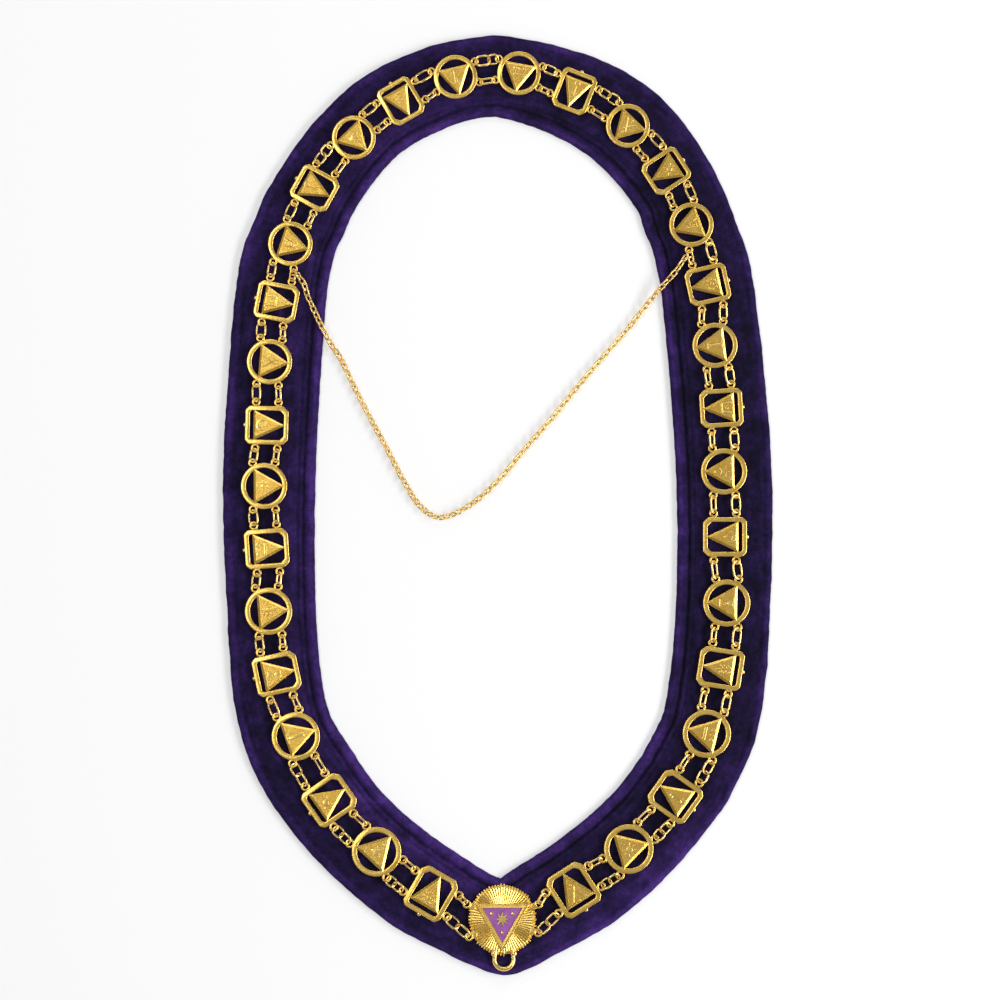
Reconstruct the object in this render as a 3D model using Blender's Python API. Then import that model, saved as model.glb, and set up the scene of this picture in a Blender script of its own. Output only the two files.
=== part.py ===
# A chain collar laid flat: a padded velvet band, square and round cast plates joined by
# two strings of links, a sunburst jewel at the point and a light chain across the neck.
# The inner string has its links, and the outer string and the light chain are plain tubes.
# Metres, +Z up. The point of the collar is towards -Y and it lies on the plane Z = 0.

import math
from collections import namedtuple

import bmesh
import bpy
from mathutils import Matrix, Vector

MM = 0.001
GAP = 0.3 * MM

# Velvet band
VELVET_TOP = 3.0 * MM
BAND_STEP = 30.0 * MM

# Heights of the metal above the table
METAL_FLOOR = VELVET_TOP + GAP
PLATE_BOTTOM = 4.5 * MM
PLATE_TOP = 5.5 * MM
LUG_HEIGHT = (PLATE_BOTTOM + PLATE_TOP) / 2
RELIEF_TOP = 6.1 * MM
MOTIF_TOP = 6.6 * MM

# Plates, given at their middle size and grown evenly from the nape to the point
ROUND_DIAMETER = 25.4 * MM
NAPE_SCALE = 0.945
POINT_SCALE = 1.08
NAPE_Y = 0.238
POINT_Y = -0.213
RING_WIDTH = 2.5 * MM
SQUARE_HALF_ALONG = 10.8 * MM
SQUARE_HALF_ACROSS = 11.9 * MM
OUTER_CHAMFER = 2.4 * MM
INNER_CHAMFER = 3.4 * MM
SLOT_WIDTH = 2.3 * MM

# Lugs and links
LUG_ACROSS = 6.2 * MM
LUG_ALONG = 12.9 * MM
LUG_RADIUS = 2.5 * MM
LUG_HOLE_RADIUS = 1.75 * MM
LUG_HOLE_SIDES = 5
LINK_WIRE_RADIUS = 0.53 * MM
LINK_HALF_WIDTH = 2.0 * MM
LINK_TILT = math.radians(48)
LINK_SEGMENTS = 10
LINK_WIRE_SIDES = 5
LINK_SLACK = 0.2 * MM
OUTER_STRING_RADIUS = 1.7 * MM
STRING_OVERLAP = 0.9 * MM

# Sunburst jewel
JEWEL_CENTRE = Vector((1.9 * MM, -228.0 * MM))
SUN_RIDGE_RADIUS = 19.2 * MM
SUN_VALLEY_RADIUS = 18.2 * MM
SUN_RAYS = 28
SUN_TOP = 5.4 * MM
SUN_VALLEY_TOP = 4.6 * MM
FRAME_TOP = 6.9 * MM
ENAMEL_TOP = 6.5 * MM
ORNAMENT_TOP = 7.3 * MM
LOOP_WIRE_RADIUS = 1.4 * MM
LOOP_HALF_WIDTH = 5.5 * MM

# Chain across the neck opening
CHAIN_RADIUS = 1.75 * MM
CHAIN_REST = CHAIN_RADIUS + 0.12 * MM
CHAIN_ON_VELVET = METAL_FLOOR + CHAIN_RADIUS + 0.1 * MM
CHAIN_SPACING = 10.5 * MM
END_RING_RADIUS = 2.1 * MM
END_RING_WIRE_RADIUS = 0.5 * MM

# Each row is a line across the band, from its outer edge to its inner edge, in millimetres
BandRow = namedtuple("BandRow", "outer_x outer_y inner_x inner_y")

BAND_POINT = BandRow(3.3, -259.0, 0.6, -205.5)
BAND_NAPE = BandRow(-5.0, 259.5, -4.0, 214.5)

# Rows run from the point up to the nape
BAND_LEFT = [
    BandRow(-29.5, -246.5, -8.5, -201.0),
    BandRow(-55.0, -234.0, -27.0, -189.0),
    BandRow(-81.0, -214.0, -48.0, -173.5),
    BandRow(-105.5, -190.0, -67.5, -154.5),
    BandRow(-125.5, -164.0, -82.0, -133.5),
    BandRow(-139.5, -136.0, -92.5, -116.5),
    BandRow(-147.0, -101.5, -97.5, -97.0),
    BandRow(-150.0, -57.5, -101.0, -56.0),
    BandRow(-152.3, 20.0, -101.0, 20.0),
    BandRow(-145.0, 122.0, -94.5, 120.0),
    BandRow(-136.5, 154.5, -86.0, 149.0),
    BandRow(-120.0, 187.0, -76.0, 169.0),
    BandRow(-92.5, 222.0, -57.0, 192.5),
    BandRow(-57.5, 246.0, -33.5, 206.5),
]
BAND_RIGHT = [
    BandRow(33.5, -246.5, 8.5, -200.0),
    BandRow(57.0, -234.0, 24.5, -190.0),
    BandRow(82.0, -214.5, 46.5, -173.5),
    BandRow(105.5, -190.0, 65.5, -155.5),
    BandRow(126.0, -163.0, 80.5, -134.5),
    BandRow(139.0, -136.0, 89.5, -117.0),
    BandRow(146.5, -101.5, 93.5, -98.5),
    BandRow(149.5, -57.5, 97.5, -56.0),
    BandRow(150.5, 20.0, 97.5, 20.0),
    BandRow(140.5, 122.0, 89.0, 121.0),
    BandRow(131.5, 154.5, 80.5, 150.5),
    BandRow(117.5, 187.0, 75.0, 165.0),
    BandRow(92.5, 222.0, 56.5, 187.0),
    BandRow(56.0, 246.0, 32.0, 203.5),
]

# The band's thickness: how far each point lies in from an edge, and its height, in millimetres
ProfilePoint = namedtuple("ProfilePoint", "edge inset height")

BAND_PROFILE = [
    ProfilePoint("inner", 0.0, 1.4),
    ProfilePoint("inner", 1.1, 2.8),
    ProfilePoint("inner", 3.6, 3.0),
    ProfilePoint("inner", 6.3, 2.2),
    ProfilePoint("inner", 8.6, 3.0),
    ProfilePoint("outer", 2.6, 3.0),
    ProfilePoint("outer", 0.0, 1.4),
    ProfilePoint("outer", 1.1, 0.0),
    ProfilePoint("inner", 1.1, 0.0),
]

# Plate centres in millimetres; facing is the way the triangle points, in degrees from +X
PlateRow = namedtuple("PlateRow", "shape x y facing motif")

# Both tables run from the point up to the nape
PLATES_LEFT = [
    PlateRow("square", -37.5, -213.5, 60.0, "disc"),
    PlateRow("round", -67.5, -190.5, 47.0, "chevron"),
    PlateRow("square", -93.5, -162.0, 35.0, "disc"),
    PlateRow("round", -112.0, -127.0, 19.0, "column"),
    PlateRow("square", -122.5, -92.5, 12.0, "diamond"),
    PlateRow("round", -127.0, -58.0, 4.5, "star"),
    PlateRow("square", -128.0, -23.5, 4.0, "column"),
    PlateRow("round", -129.5, 11.0, 0.5, "diamond"),
    PlateRow("square", -128.0, 44.5, -1.5, "disc"),
    PlateRow("round", -126.5, 79.5, -5.0, "chevron"),
    PlateRow("square", -122.5, 112.5, -11.0, "crescent"),
    PlateRow("round", -115.0, 144.5, -18.0, "column"),
    PlateRow("square", -101.5, 175.0, -29.0, "star"),
    PlateRow("round", -80.0, 203.0, -46.0, "diamond"),
    PlateRow("square", -54.0, 223.0, -59.5, "disc"),
    PlateRow("round", -24.0, 236.5, -77.0, "column"),
]
PLATES_RIGHT = [
    PlateRow("square", 41.0, -211.5, 122.5, "crescent"),
    PlateRow("round", 71.5, -189.0, 136.0, "column"),
    PlateRow("square", 97.0, -160.0, 144.5, "chevron"),
    PlateRow("round", 114.5, -125.5, 166.0, "diamond"),
    PlateRow("square", 122.0, -89.5, 171.0, "star"),
    PlateRow("round", 125.5, -53.5, 179.0, "disc"),
    PlateRow("square", 124.5, -17.0, 180.0, "column"),
    PlateRow("round", 124.0, 19.0, 181.0, "crescent"),
    PlateRow("square", 122.5, 54.0, 183.5, "diamond"),
    PlateRow("round", 119.0, 88.5, 187.0, "column"),
    PlateRow("square", 115.0, 122.0, 192.5, "chevron"),
    PlateRow("round", 106.0, 155.0, 200.0, "disc"),
    PlateRow("square", 92.0, 184.5, 213.0, "column"),
    PlateRow("round", 71.0, 209.5, 226.0, "star"),
    PlateRow("square", 41.5, 228.5, 248.5, "chevron"),
    PlateRow("round", 11.0, 238.5, 260.0, "diamond"),
]

# The plate on each side whose upper inner link holds the end of the cross chain
CHAIN_PLATE_INDEX = 10

# The cross chain's route from left to right, in millimetres
RoutePoint = namedtuple("RoutePoint", "x y height")

ON_VELVET = CHAIN_ON_VELVET / MM
ON_TABLE = CHAIN_REST / MM
CHAIN_ROUTE = [
    RoutePoint(-107.2, 121.5, ON_VELVET + 0.6),
    RoutePoint(-105.6, 116.0, ON_VELVET),
    RoutePoint(-102.3, 108.7, ON_VELVET),
    RoutePoint(-97.5, 98.5, ON_VELVET),
    RoutePoint(-92.5, 89.0, 3.2),
    RoutePoint(-87.0, 80.5, ON_TABLE),
    RoutePoint(-79.0, 64.0, ON_TABLE),
    RoutePoint(-70.5, 47.5, ON_TABLE),
    RoutePoint(-61.5, 31.0, ON_TABLE),
    RoutePoint(-53.0, 14.5, ON_TABLE),
    RoutePoint(-43.5, 0.0, ON_TABLE),
    RoutePoint(-32.0, -6.3, ON_TABLE),
    RoutePoint(-16.0, 0.5, ON_TABLE),
    RoutePoint(0.0, 14.5, ON_TABLE),
    RoutePoint(14.0, 31.0, ON_TABLE),
    RoutePoint(28.5, 47.5, ON_TABLE),
    RoutePoint(42.0, 64.0, ON_TABLE),
    RoutePoint(56.0, 80.5, ON_TABLE),
    RoutePoint(70.5, 97.0, ON_TABLE),
    RoutePoint(77.5, 106.0, ON_TABLE),
    RoutePoint(83.5, 113.5, 3.2),
    RoutePoint(89.5, 120.5, ON_VELVET),
    RoutePoint(94.5, 126.0, ON_VELVET),
    RoutePoint(98.6, 131.0, ON_VELVET + 0.6),
]

# The jewel's lugs, from its centre, in millimetres
JEWEL_LUGS_LEFT = {"inner": (-19.6, 8.6), "outer": (-18.4, -9.4)}
JEWEL_LUGS_RIGHT = {"inner": (19.9, 8.5), "outer": (19.6, -7.2)}


def clear_scene():
    for obj in list(bpy.data.objects):
        bpy.data.objects.remove(obj, do_unlink=True)


def make_collection(name):
    collection = bpy.data.collections.new(name)
    bpy.context.scene.collection.children.link(collection)
    return collection


def make_material(name, colour, roughness, metallic):
    material = bpy.data.materials.new(name)
    material.use_nodes = True
    shader = material.node_tree.nodes["Principled BSDF"]
    shader.inputs["Base Color"].default_value = (*colour, 1.0)
    shader.inputs["Roughness"].default_value = roughness
    shader.inputs["Metallic"].default_value = metallic
    return material


def make_gold(name):
    return make_material(name, (0.83, 0.61, 0.22), 0.25, 1.0)


def add_object(name, mesh, collection, material=None):
    obj = bpy.data.objects.new(name, mesh)
    collection.objects.link(obj)
    if material is not None:
        mesh.materials.clear()
        mesh.materials.append(material)
    return obj


def mesh_from_curve(curve_object):
    """Turn a curve object into a closed mesh that keeps the curve's place."""
    graph = bpy.context.evaluated_depsgraph_get()
    mesh = bpy.data.meshes.new_from_object(curve_object.evaluated_get(graph))
    matrix = curve_object.matrix_world.copy()
    bpy.data.objects.remove(curve_object, do_unlink=True)
    solid = bmesh.new()
    solid.from_mesh(mesh)
    bmesh.ops.remove_doubles(solid, verts=solid.verts, dist=0.00002)
    bmesh.ops.recalc_face_normals(solid, faces=solid.faces)
    solid.to_mesh(mesh)
    solid.free()
    mesh.transform(matrix)
    return mesh


def flat_solid(name, outlines, bottom, top, collection, placement):
    """Extrude closed outlines from one height to another; inner outlines are holes."""
    curve = bpy.data.curves.new(name, "CURVE")
    curve.dimensions = "2D"
    curve.fill_mode = "BOTH"
    curve.extrude = (top - bottom) / 2
    for outline in outlines:
        spline = curve.splines.new("POLY")
        spline.points.add(len(outline) - 1)
        for point, place in zip(spline.points, outline):
            point.co = (place[0], place[1], 0.0, 1.0)
        spline.use_cyclic_u = True
    curve_object = bpy.data.objects.new(name, curve)
    collection.objects.link(curve_object)
    curve_object.matrix_world = placement @ Matrix.Translation((0.0, 0.0, (bottom + top) / 2))
    bpy.context.view_layer.update()
    return add_object(name, mesh_from_curve(curve_object), collection)


def round_wire(name, path, radius, collection, resolution=1):
    """A tube of round wire along a path."""
    curve = bpy.data.curves.new(name, "CURVE")
    curve.dimensions = "3D"
    curve.fill_mode = "FULL"
    curve.bevel_depth = radius
    curve.bevel_resolution = resolution
    curve.use_fill_caps = True
    spline = curve.splines.new("POLY")
    spline.points.add(len(path) - 1)
    for point, place in zip(spline.points, path):
        point.co = (*place, 1.0)
    curve_object = bpy.data.objects.new(name, curve)
    collection.objects.link(curve_object)
    bpy.context.view_layer.update()
    return add_object(name, mesh_from_curve(curve_object), collection)


def fuse(name, pieces, collection, material):
    """Join overlapping pieces into one closed body."""
    bpy.context.view_layer.update()
    body = pieces[0]
    tools = make_collection(name + "_pieces")
    for piece in pieces[1:]:
        for owner in list(piece.users_collection):
            owner.objects.unlink(piece)
        tools.objects.link(piece)
        piece.hide_render = True
        piece.display_type = "WIRE"
    union = body.modifiers.new("Join", "BOOLEAN")
    union.operation = "UNION"
    union.solver = "EXACT"
    union.operand_type = "COLLECTION"
    union.collection = tools
    bpy.context.view_layer.update()
    graph = bpy.context.evaluated_depsgraph_get()
    mesh = bpy.data.meshes.new_from_object(body.evaluated_get(graph))
    mesh.transform(body.matrix_world)
    for piece in pieces:
        bpy.data.objects.remove(piece, do_unlink=True)
    bpy.data.collections.remove(tools)
    solid = bmesh.new()
    solid.from_mesh(mesh)
    bmesh.ops.remove_doubles(solid, verts=solid.verts, dist=0.000002)
    solid.to_mesh(mesh)
    solid.free()
    return add_object(name, mesh, collection, material)


def catmull_rom(before, start, end, after, share):
    """A point on the smooth curve between start and end."""
    squared = share * share
    cubed = squared * share
    return 0.5 * (
        2.0 * start
        + (end - before) * share
        + (2.0 * before - 5.0 * start + 4.0 * end - after) * squared
        + (3.0 * start - before - 3.0 * end + after) * cubed
    )


def smooth_path(points, steps):
    """Points along a smooth open curve through the given ones."""
    path = []
    last = len(points) - 1
    for index in range(last):
        before = points[index - 1] if index > 0 else 2.0 * points[0] - points[1]
        after = points[index + 2] if index + 2 <= last else 2.0 * points[last] - points[last - 1]
        for step in range(steps):
            share = step / steps
            path.append(catmull_rom(before, points[index], points[index + 1], after, share))
    path.append(points[last])
    return path


def even_path(points, spacing):
    """The same smooth curve, with points a fixed distance apart."""
    fine = smooth_path(points, 24)
    lengths = [0.0]
    for start, end in zip(fine, fine[1:]):
        lengths.append(lengths[-1] + (end - start).length)
    count = round(lengths[-1] / spacing)
    path = []
    index = 0
    for step in range(count + 1):
        wanted = lengths[-1] * step / count
        while index < len(fine) - 2 and lengths[index + 1] < wanted:
            index += 1
        share = (wanted - lengths[index]) / (lengths[index + 1] - lengths[index])
        path.append(fine[index].lerp(fine[index + 1], min(share, 1.0)))
    return path


def band_edge(rows, edge):
    """One edge of the band on one side, from the point to the nape."""
    points = []
    for row in rows:
        if edge == "outer":
            points.append(Vector((row.outer_x, row.outer_y)) * MM)
        else:
            points.append(Vector((row.inner_x, row.inner_y)) * MM)
    return points


def band_sections():
    """Pairs of outer and inner points, once round the band."""
    left_rows = [BAND_POINT] + BAND_LEFT + [BAND_NAPE]
    right_rows = [BAND_NAPE] + BAND_RIGHT[::-1] + [BAND_POINT]
    outer = band_edge(left_rows, "outer") + band_edge(right_rows, "outer")[1:]
    inner = band_edge(left_rows, "inner") + band_edge(right_rows, "inner")[1:]
    # The outer edge is smooth at the point, and the inner edge has a sharp notch there
    outer = [outer[-2]] + outer + [outer[1]]
    inner = [2.0 * inner[0] - inner[1]] + inner + [2.0 * inner[-1] - inner[-2]]
    sections = []
    for index in range(1, len(outer) - 2):
        length = (outer[index + 1] - outer[index]).length
        steps = math.ceil(length / BAND_STEP)
        for step in range(steps):
            share = step / steps
            outer_place = catmull_rom(*outer[index - 1:index + 3], share)
            inner_place = catmull_rom(*inner[index - 1:index + 3], share)
            sections.append((outer_place, inner_place))
    return sections


def build_velvet_band(collection):
    """The padded band: one closed section carried round the collar."""
    solid = bmesh.new()
    rings = []
    for outer, inner in band_sections():
        across = (outer - inner).normalized()
        ring = []
        for point in BAND_PROFILE:
            if point.edge == "inner":
                place = inner + across * point.inset * MM
            else:
                place = outer - across * point.inset * MM
            ring.append(solid.verts.new((place.x, place.y, point.height * MM)))
        rings.append(ring)
    sides = len(BAND_PROFILE)
    for index, ring in enumerate(rings):
        following = rings[(index + 1) % len(rings)]
        for side in range(sides):
            other = (side + 1) % sides
            solid.faces.new((ring[side], ring[other], following[other], following[side]))
    bmesh.ops.recalc_face_normals(solid, faces=solid.faces)
    mesh = bpy.data.meshes.new("velvet_band")
    solid.to_mesh(mesh)
    solid.free()
    velvet = make_material("velvet_purple", (0.055, 0.022, 0.16), 0.9, 0.0)
    band = add_object("velvet_band", mesh, collection, velvet)
    band.data.shade_smooth()
    band.data.set_sharp_from_angle(angle=math.radians(40))


def plate_scale(place_y):
    share = max(0.0, (NAPE_Y - place_y) / (NAPE_Y - POINT_Y))
    return NAPE_SCALE + (POINT_SCALE - NAPE_SCALE) * share ** 1.3


def polar(radius, degrees):
    angle = math.radians(degrees)
    return (radius * math.cos(angle), radius * math.sin(angle))


def lug_centre(string, end, scale):
    """A lug's centre in the plate's own frame: +X inwards, +Y along the chain."""
    across = LUG_ACROSS if string == "inner" else -LUG_ACROSS
    along = LUG_ALONG if end == "next" else -LUG_ALONG
    return Vector((across * scale, along * scale))


def lug_bulge(centre, outward, pierced):
    """The rounded outline of a lug; a pierced one takes a point more round its outer side."""
    turns = (-95, -32, 32, 95) if pierced else (-85, 0, 85)
    points = []
    for turn in turns:
        offset = polar(LUG_RADIUS, outward + turn)
        points.append((centre.x + offset[0], centre.y + offset[1]))
    return points


def lug_hole(centre, outward):
    points = []
    for step in range(LUG_HOLE_SIDES):
        offset = polar(LUG_HOLE_RADIUS, outward + 360 * step / LUG_HOLE_SIDES)
        points.append((centre.x + offset[0], centre.y + offset[1]))
    return points


def round_outlines(scale):
    """Ring with three pierced gaps round a triangle whose tip is at +X."""
    radius = ROUND_DIAMETER / 2 * scale
    inner_radius = radius - RING_WIDTH * scale
    outline = []
    for degrees in (-39, -13, 13, 39):
        outline.append(polar(radius, degrees))
    outline += lug_bulge(lug_centre("inner", "next", scale), 70, False)
    outline += lug_bulge(lug_centre("outer", "next", scale), 110, False)
    for degrees in (141, 167, 193, 219):
        outline.append(polar(radius, degrees))
    outline += lug_bulge(lug_centre("outer", "last", scale), 250, False)
    outline += lug_bulge(lug_centre("inner", "last", scale), 290, True)
    outlines = [outline]
    corner_half_angle = 4.5
    for corner in (0, 120, 240):
        gap = []
        sweep = 120 - 2 * corner_half_angle
        for step in range(5):
            degrees = corner + corner_half_angle + sweep * step / 4
            gap.append(polar(inner_radius, degrees))
        outlines.append(gap)
    return outlines


def square_outlines(scale):
    """Frame with a slot and two pierced gaps round a triangle whose tip is at +X."""
    along = SQUARE_HALF_ALONG * scale
    across = SQUARE_HALF_ACROSS * scale
    outer_chamfer = OUTER_CHAMFER * scale
    inner_chamfer = INNER_CHAMFER * scale
    bar = RING_WIDTH * scale
    slot = SLOT_WIDTH * scale
    outline = [
        (-across, along - outer_chamfer),
        (-across, -along + outer_chamfer),
        (-across + outer_chamfer, -along),
    ]
    outline += lug_bulge(lug_centre("outer", "last", scale), 270, False)
    outline += lug_bulge(lug_centre("inner", "last", scale), 270, True)
    outline += [
        (across - inner_chamfer, -along),
        (across, -along + inner_chamfer),
        (across, along - inner_chamfer),
        (across - inner_chamfer, along),
    ]
    outline += lug_bulge(lug_centre("inner", "next", scale), 90, False)
    outline += lug_bulge(lug_centre("outer", "next", scale), 90, False)
    outline.append((-across + outer_chamfer, along))
    window_along = along - bar
    window_across = across - bar
    base = -window_across + slot
    slot_hole = [
        (-window_across, -window_along + 0.4 * bar),
        (base, -window_along),
        (base, window_along),
        (-window_across, window_along - 0.4 * bar),
    ]
    upper_gap = [
        (base + 1.4 * bar, window_along),
        (window_across - 0.8 * bar, window_along),
        (window_across, window_along - 0.8 * bar),
        (window_across, 0.35 * bar),
    ]
    lower_gap = [(x, -y) for x, y in upper_gap]
    return [outline, slot_hole, upper_gap, lower_gap]


def raised_triangle(shape, scale):
    if shape == "round":
        tip = (ROUND_DIAMETER / 2 - RING_WIDTH) * scale * 0.96
        return [polar(tip, 0), polar(tip, 120), polar(tip, 240)]
    bar = RING_WIDTH * scale
    half_base = SQUARE_HALF_ALONG * scale - 1.3 * bar
    base = -SQUARE_HALF_ACROSS * scale + bar + SLOT_WIDTH * scale + 0.15 * MM
    tip = SQUARE_HALF_ACROSS * scale - 1.45 * bar
    return [(tip, 0.0), (base, half_base), (base, -half_base)]


def motif_outline(name, scale):
    """A small raised figure of a common kind in the middle of the triangle."""
    size = 2.6 * MM * scale
    if name == "disc":
        return [polar(0.85 * size, 60 * step) for step in range(6)]
    if name == "star":
        return [polar(size if step % 2 == 0 else 0.42 * size, 45 * step) for step in range(8)]
    if name == "diamond":
        return [(size, 0.0), (0.0, 0.7 * size), (-size, 0.0), (0.0, -0.7 * size)]
    if name == "chevron":
        return [
            (size, 0.0),
            (-0.6 * size, size),
            (-0.9 * size, 0.5 * size),
            (0.2 * size, 0.0),
            (-0.9 * size, -0.5 * size),
            (-0.6 * size, -size),
        ]
    if name == "crescent":
        outside = [polar(size, degrees) for degrees in (60, 120, 180, 240, 300)]
        return outside + [(-0.3 * size, 0.0)]
    column = [(1.2 * size, 0.25 * size), (-0.9 * size, 0.45 * size)]
    return column + [(x, -y) for x, y in column[::-1]]


def wire_ring(radius, wire_radius):
    """A round ring of wire about its own middle."""
    bpy.ops.mesh.primitive_torus_add(
        major_segments=LINK_SEGMENTS,
        minor_segments=LINK_WIRE_SIDES,
        major_radius=radius,
        minor_radius=wire_radius,
    )
    ring = bpy.context.active_object
    mesh = ring.data
    bpy.data.objects.remove(ring, do_unlink=True)
    return mesh


def right_of(along):
    """The level direction to the right of travel, which is towards the neck."""
    return Vector((along.y, -along.x, 0.0))


def inner_link(name, start, end, collection):
    """One oval link between two inner lugs, with its upper side towards the neck."""
    start, end = link_ends(start, end)
    middle = (start + end) / 2
    direction = end - start
    straight = max(direction.length - 2.0 * LINK_HALF_WIDTH, 0.0)
    ring = wire_ring(LINK_HALF_WIDTH, LINK_WIRE_RADIUS)
    for vertex in ring.vertices:
        vertex.co.x += math.copysign(straight / 2, vertex.co.x)
    along = direction.normalized()
    across = right_of(along) * math.cos(LINK_TILT) + Vector((0.0, 0.0, math.sin(LINK_TILT)))
    normal = along.cross(across)
    rotation = Matrix((along, across, normal)).transposed().to_4x4()
    ring.transform(Matrix.Translation(middle) @ rotation)
    return add_object(name, ring, collection)


def link_ends(start, end):
    """Where an inner link's wire ends lie, so that it passes through the middle of both lugs."""
    drop = (link_height() - LUG_HEIGHT) / math.sin(LINK_TILT)
    reach = LINK_HALF_WIDTH - math.sqrt(LINK_HALF_WIDTH ** 2 - drop ** 2) + LINK_SLACK
    along = (end - start).normalized()
    shift = right_of(along) * drop * math.cos(LINK_TILT)
    return start - along * reach + shift, end + along * reach + shift


def outer_tube(name, start, end, collection):
    """The outer string between two lugs, sunk into the first and just clear of the second."""
    along = (end - start).normalized()
    first = start + along * (LUG_RADIUS - STRING_OVERLAP)
    last = end - along * (LUG_RADIUS + GAP)
    height = METAL_FLOOR + OUTER_STRING_RADIUS
    path = [Vector((place.x, place.y, height)) for place in (first, last)]
    return round_wire(name, path, OUTER_STRING_RADIUS, collection, resolution=2)


def link_height():
    """Height of a link's middle when its lower side lies just above the velvet."""
    return METAL_FLOOR + LINK_WIRE_RADIUS + LINK_HALF_WIDTH * math.sin(LINK_TILT)


def plate_placement(row):
    turn = Matrix.Rotation(math.radians(row.facing), 4, "Z")
    return Matrix.Translation((row.x * MM, row.y * MM, 0.0)) @ turn


def world_lug(row, string, end):
    """A plate lug's centre in the collar's frame, at the height of the links."""
    flat = lug_centre(string, end, plate_scale(row.y * MM))
    place = plate_placement(row) @ Vector((flat.x, flat.y, 0.0))
    return Vector((place.x, place.y, link_height()))


def jewel_lug(lugs, string):
    offset = Vector(lugs[string]) * MM
    place = JEWEL_CENTRE + offset
    return Vector((place.x, place.y, link_height()))


def chain_of_plates():
    """The plates in order, from the left of the jewel over the nape to its right."""
    named = []
    for index, row in enumerate(PLATES_LEFT):
        named.append((f"{row.shape}_plate_left_{index + 1:02d}", row))
    for index, row in reversed(list(enumerate(PLATES_RIGHT))):
        named.append((f"{row.shape}_plate_right_{index + 1:02d}", row))
    return named


def build_plate(name, row, ends, collection):
    """One cast plate with the inner link and the outer string that lead on from it."""
    scale = plate_scale(row.y * MM)
    placement = plate_placement(row)
    outlines = round_outlines(scale) if row.shape == "round" else square_outlines(scale)
    outlines.append(lug_hole(lug_centre("inner", "last", scale), 270))
    pieces = [flat_solid("plate", outlines, PLATE_BOTTOM, PLATE_TOP, collection, placement)]
    triangle = raised_triangle(row.shape, scale)
    pieces.append(flat_solid("triangle", [triangle], METAL_FLOOR, RELIEF_TOP, collection, placement))
    shift = -0.9 * MM * scale if row.shape == "square" else 0.0
    motif_place = placement @ Matrix.Translation((shift, 0.0, 0.0))
    motif = motif_outline(row.motif, scale)
    motif_bottom = (PLATE_TOP + RELIEF_TOP) / 2
    pieces.append(flat_solid("motif", [motif], motif_bottom, MOTIF_TOP, collection, motif_place))
    inner_start = world_lug(row, "inner", "next")
    outer_start = world_lug(row, "outer", "next")
    pieces.append(inner_link("link", inner_start, ends["inner"], collection))
    pieces.append(outer_tube("string", outer_start, ends["outer"], collection))
    return fuse(name, pieces, collection, make_gold(name + "_gold"))


def build_plates(collection):
    plates = chain_of_plates()
    for index, (name, row) in enumerate(plates):
        ends = {}
        for string in ("inner", "outer"):
            if index + 1 < len(plates):
                ends[string] = world_lug(plates[index + 1][1], string, "last")
            else:
                ends[string] = jewel_lug(JEWEL_LUGS_RIGHT, string)
        build_plate(name, row, ends, collection)


def sun_mesh():
    """A disc whose upper face is a fan of raised rays, cut to points at the rim."""
    solid = bmesh.new()
    top_middle = solid.verts.new((0.0, 0.0, SUN_TOP))
    upper = []
    lower = []
    for step in range(2 * SUN_RAYS):
        degrees = 180.0 / SUN_RAYS * step
        ridge = step % 2 == 0
        x, y = polar(SUN_RIDGE_RADIUS if ridge else SUN_VALLEY_RADIUS, degrees)
        upper.append(solid.verts.new((x, y, SUN_TOP if ridge else SUN_VALLEY_TOP)))
        lower.append(solid.verts.new((x, y, METAL_FLOOR)))
    count = len(upper)
    for step in range(count):
        following = (step + 1) % count
        solid.faces.new((top_middle, upper[step], upper[following]))
        solid.faces.new((upper[step], lower[step], lower[following], upper[following]))
    solid.faces.new(lower[::-1])
    bmesh.ops.recalc_face_normals(solid, faces=solid.faces)
    mesh = bpy.data.meshes.new("sun")
    solid.to_mesh(mesh)
    solid.free()
    mesh.transform(Matrix.Translation((JEWEL_CENTRE.x, JEWEL_CENTRE.y, 0.0)))
    return mesh


def jewel_lug_solid(name, lugs, string, pierced, collection):
    """A lug on the jewel's rim, with a neck that reaches into the disc."""
    offset = Vector(lugs[string]) * MM
    inward = math.degrees(math.atan2(-offset.y, -offset.x))
    outline = lug_bulge(offset, inward + 180, pierced)
    root = offset * 0.84
    side = Vector((-offset.y, offset.x)).normalized() * LUG_RADIUS * 0.9
    outline += [tuple(root + side), tuple(root - side)]
    outlines = [outline]
    if pierced:
        outlines.append(lug_hole(offset, inward + 180))
    placement = Matrix.Translation((JEWEL_CENTRE.x, JEWEL_CENTRE.y, 0.0))
    return flat_solid(name, outlines, PLATE_BOTTOM, PLATE_TOP, collection, placement)


def triangle_down(half_width, top_y, bottom_y):
    """A triangle that points to the collar's tip, from the jewel's centre."""
    return [(-half_width, top_y), (0.0, bottom_y), (half_width, top_y)]


def loop_path():
    """The hanging loop: down one side, round the bottom and up the other side."""
    top_y = -16.3 * MM
    turn_y = -22.4 * MM
    path = [(-LOOP_HALF_WIDTH * 0.9, top_y)]
    for degrees in (180, 210, 240, 270, 300, 330, 360):
        x, y = polar(LOOP_HALF_WIDTH, degrees)
        path.append((x, turn_y + y))
    path.append((LOOP_HALF_WIDTH * 0.9, top_y))
    height = METAL_FLOOR + LOOP_WIRE_RADIUS
    return [Vector((JEWEL_CENTRE.x + x, JEWEL_CENTRE.y + y, height)) for x, y in path]


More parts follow.
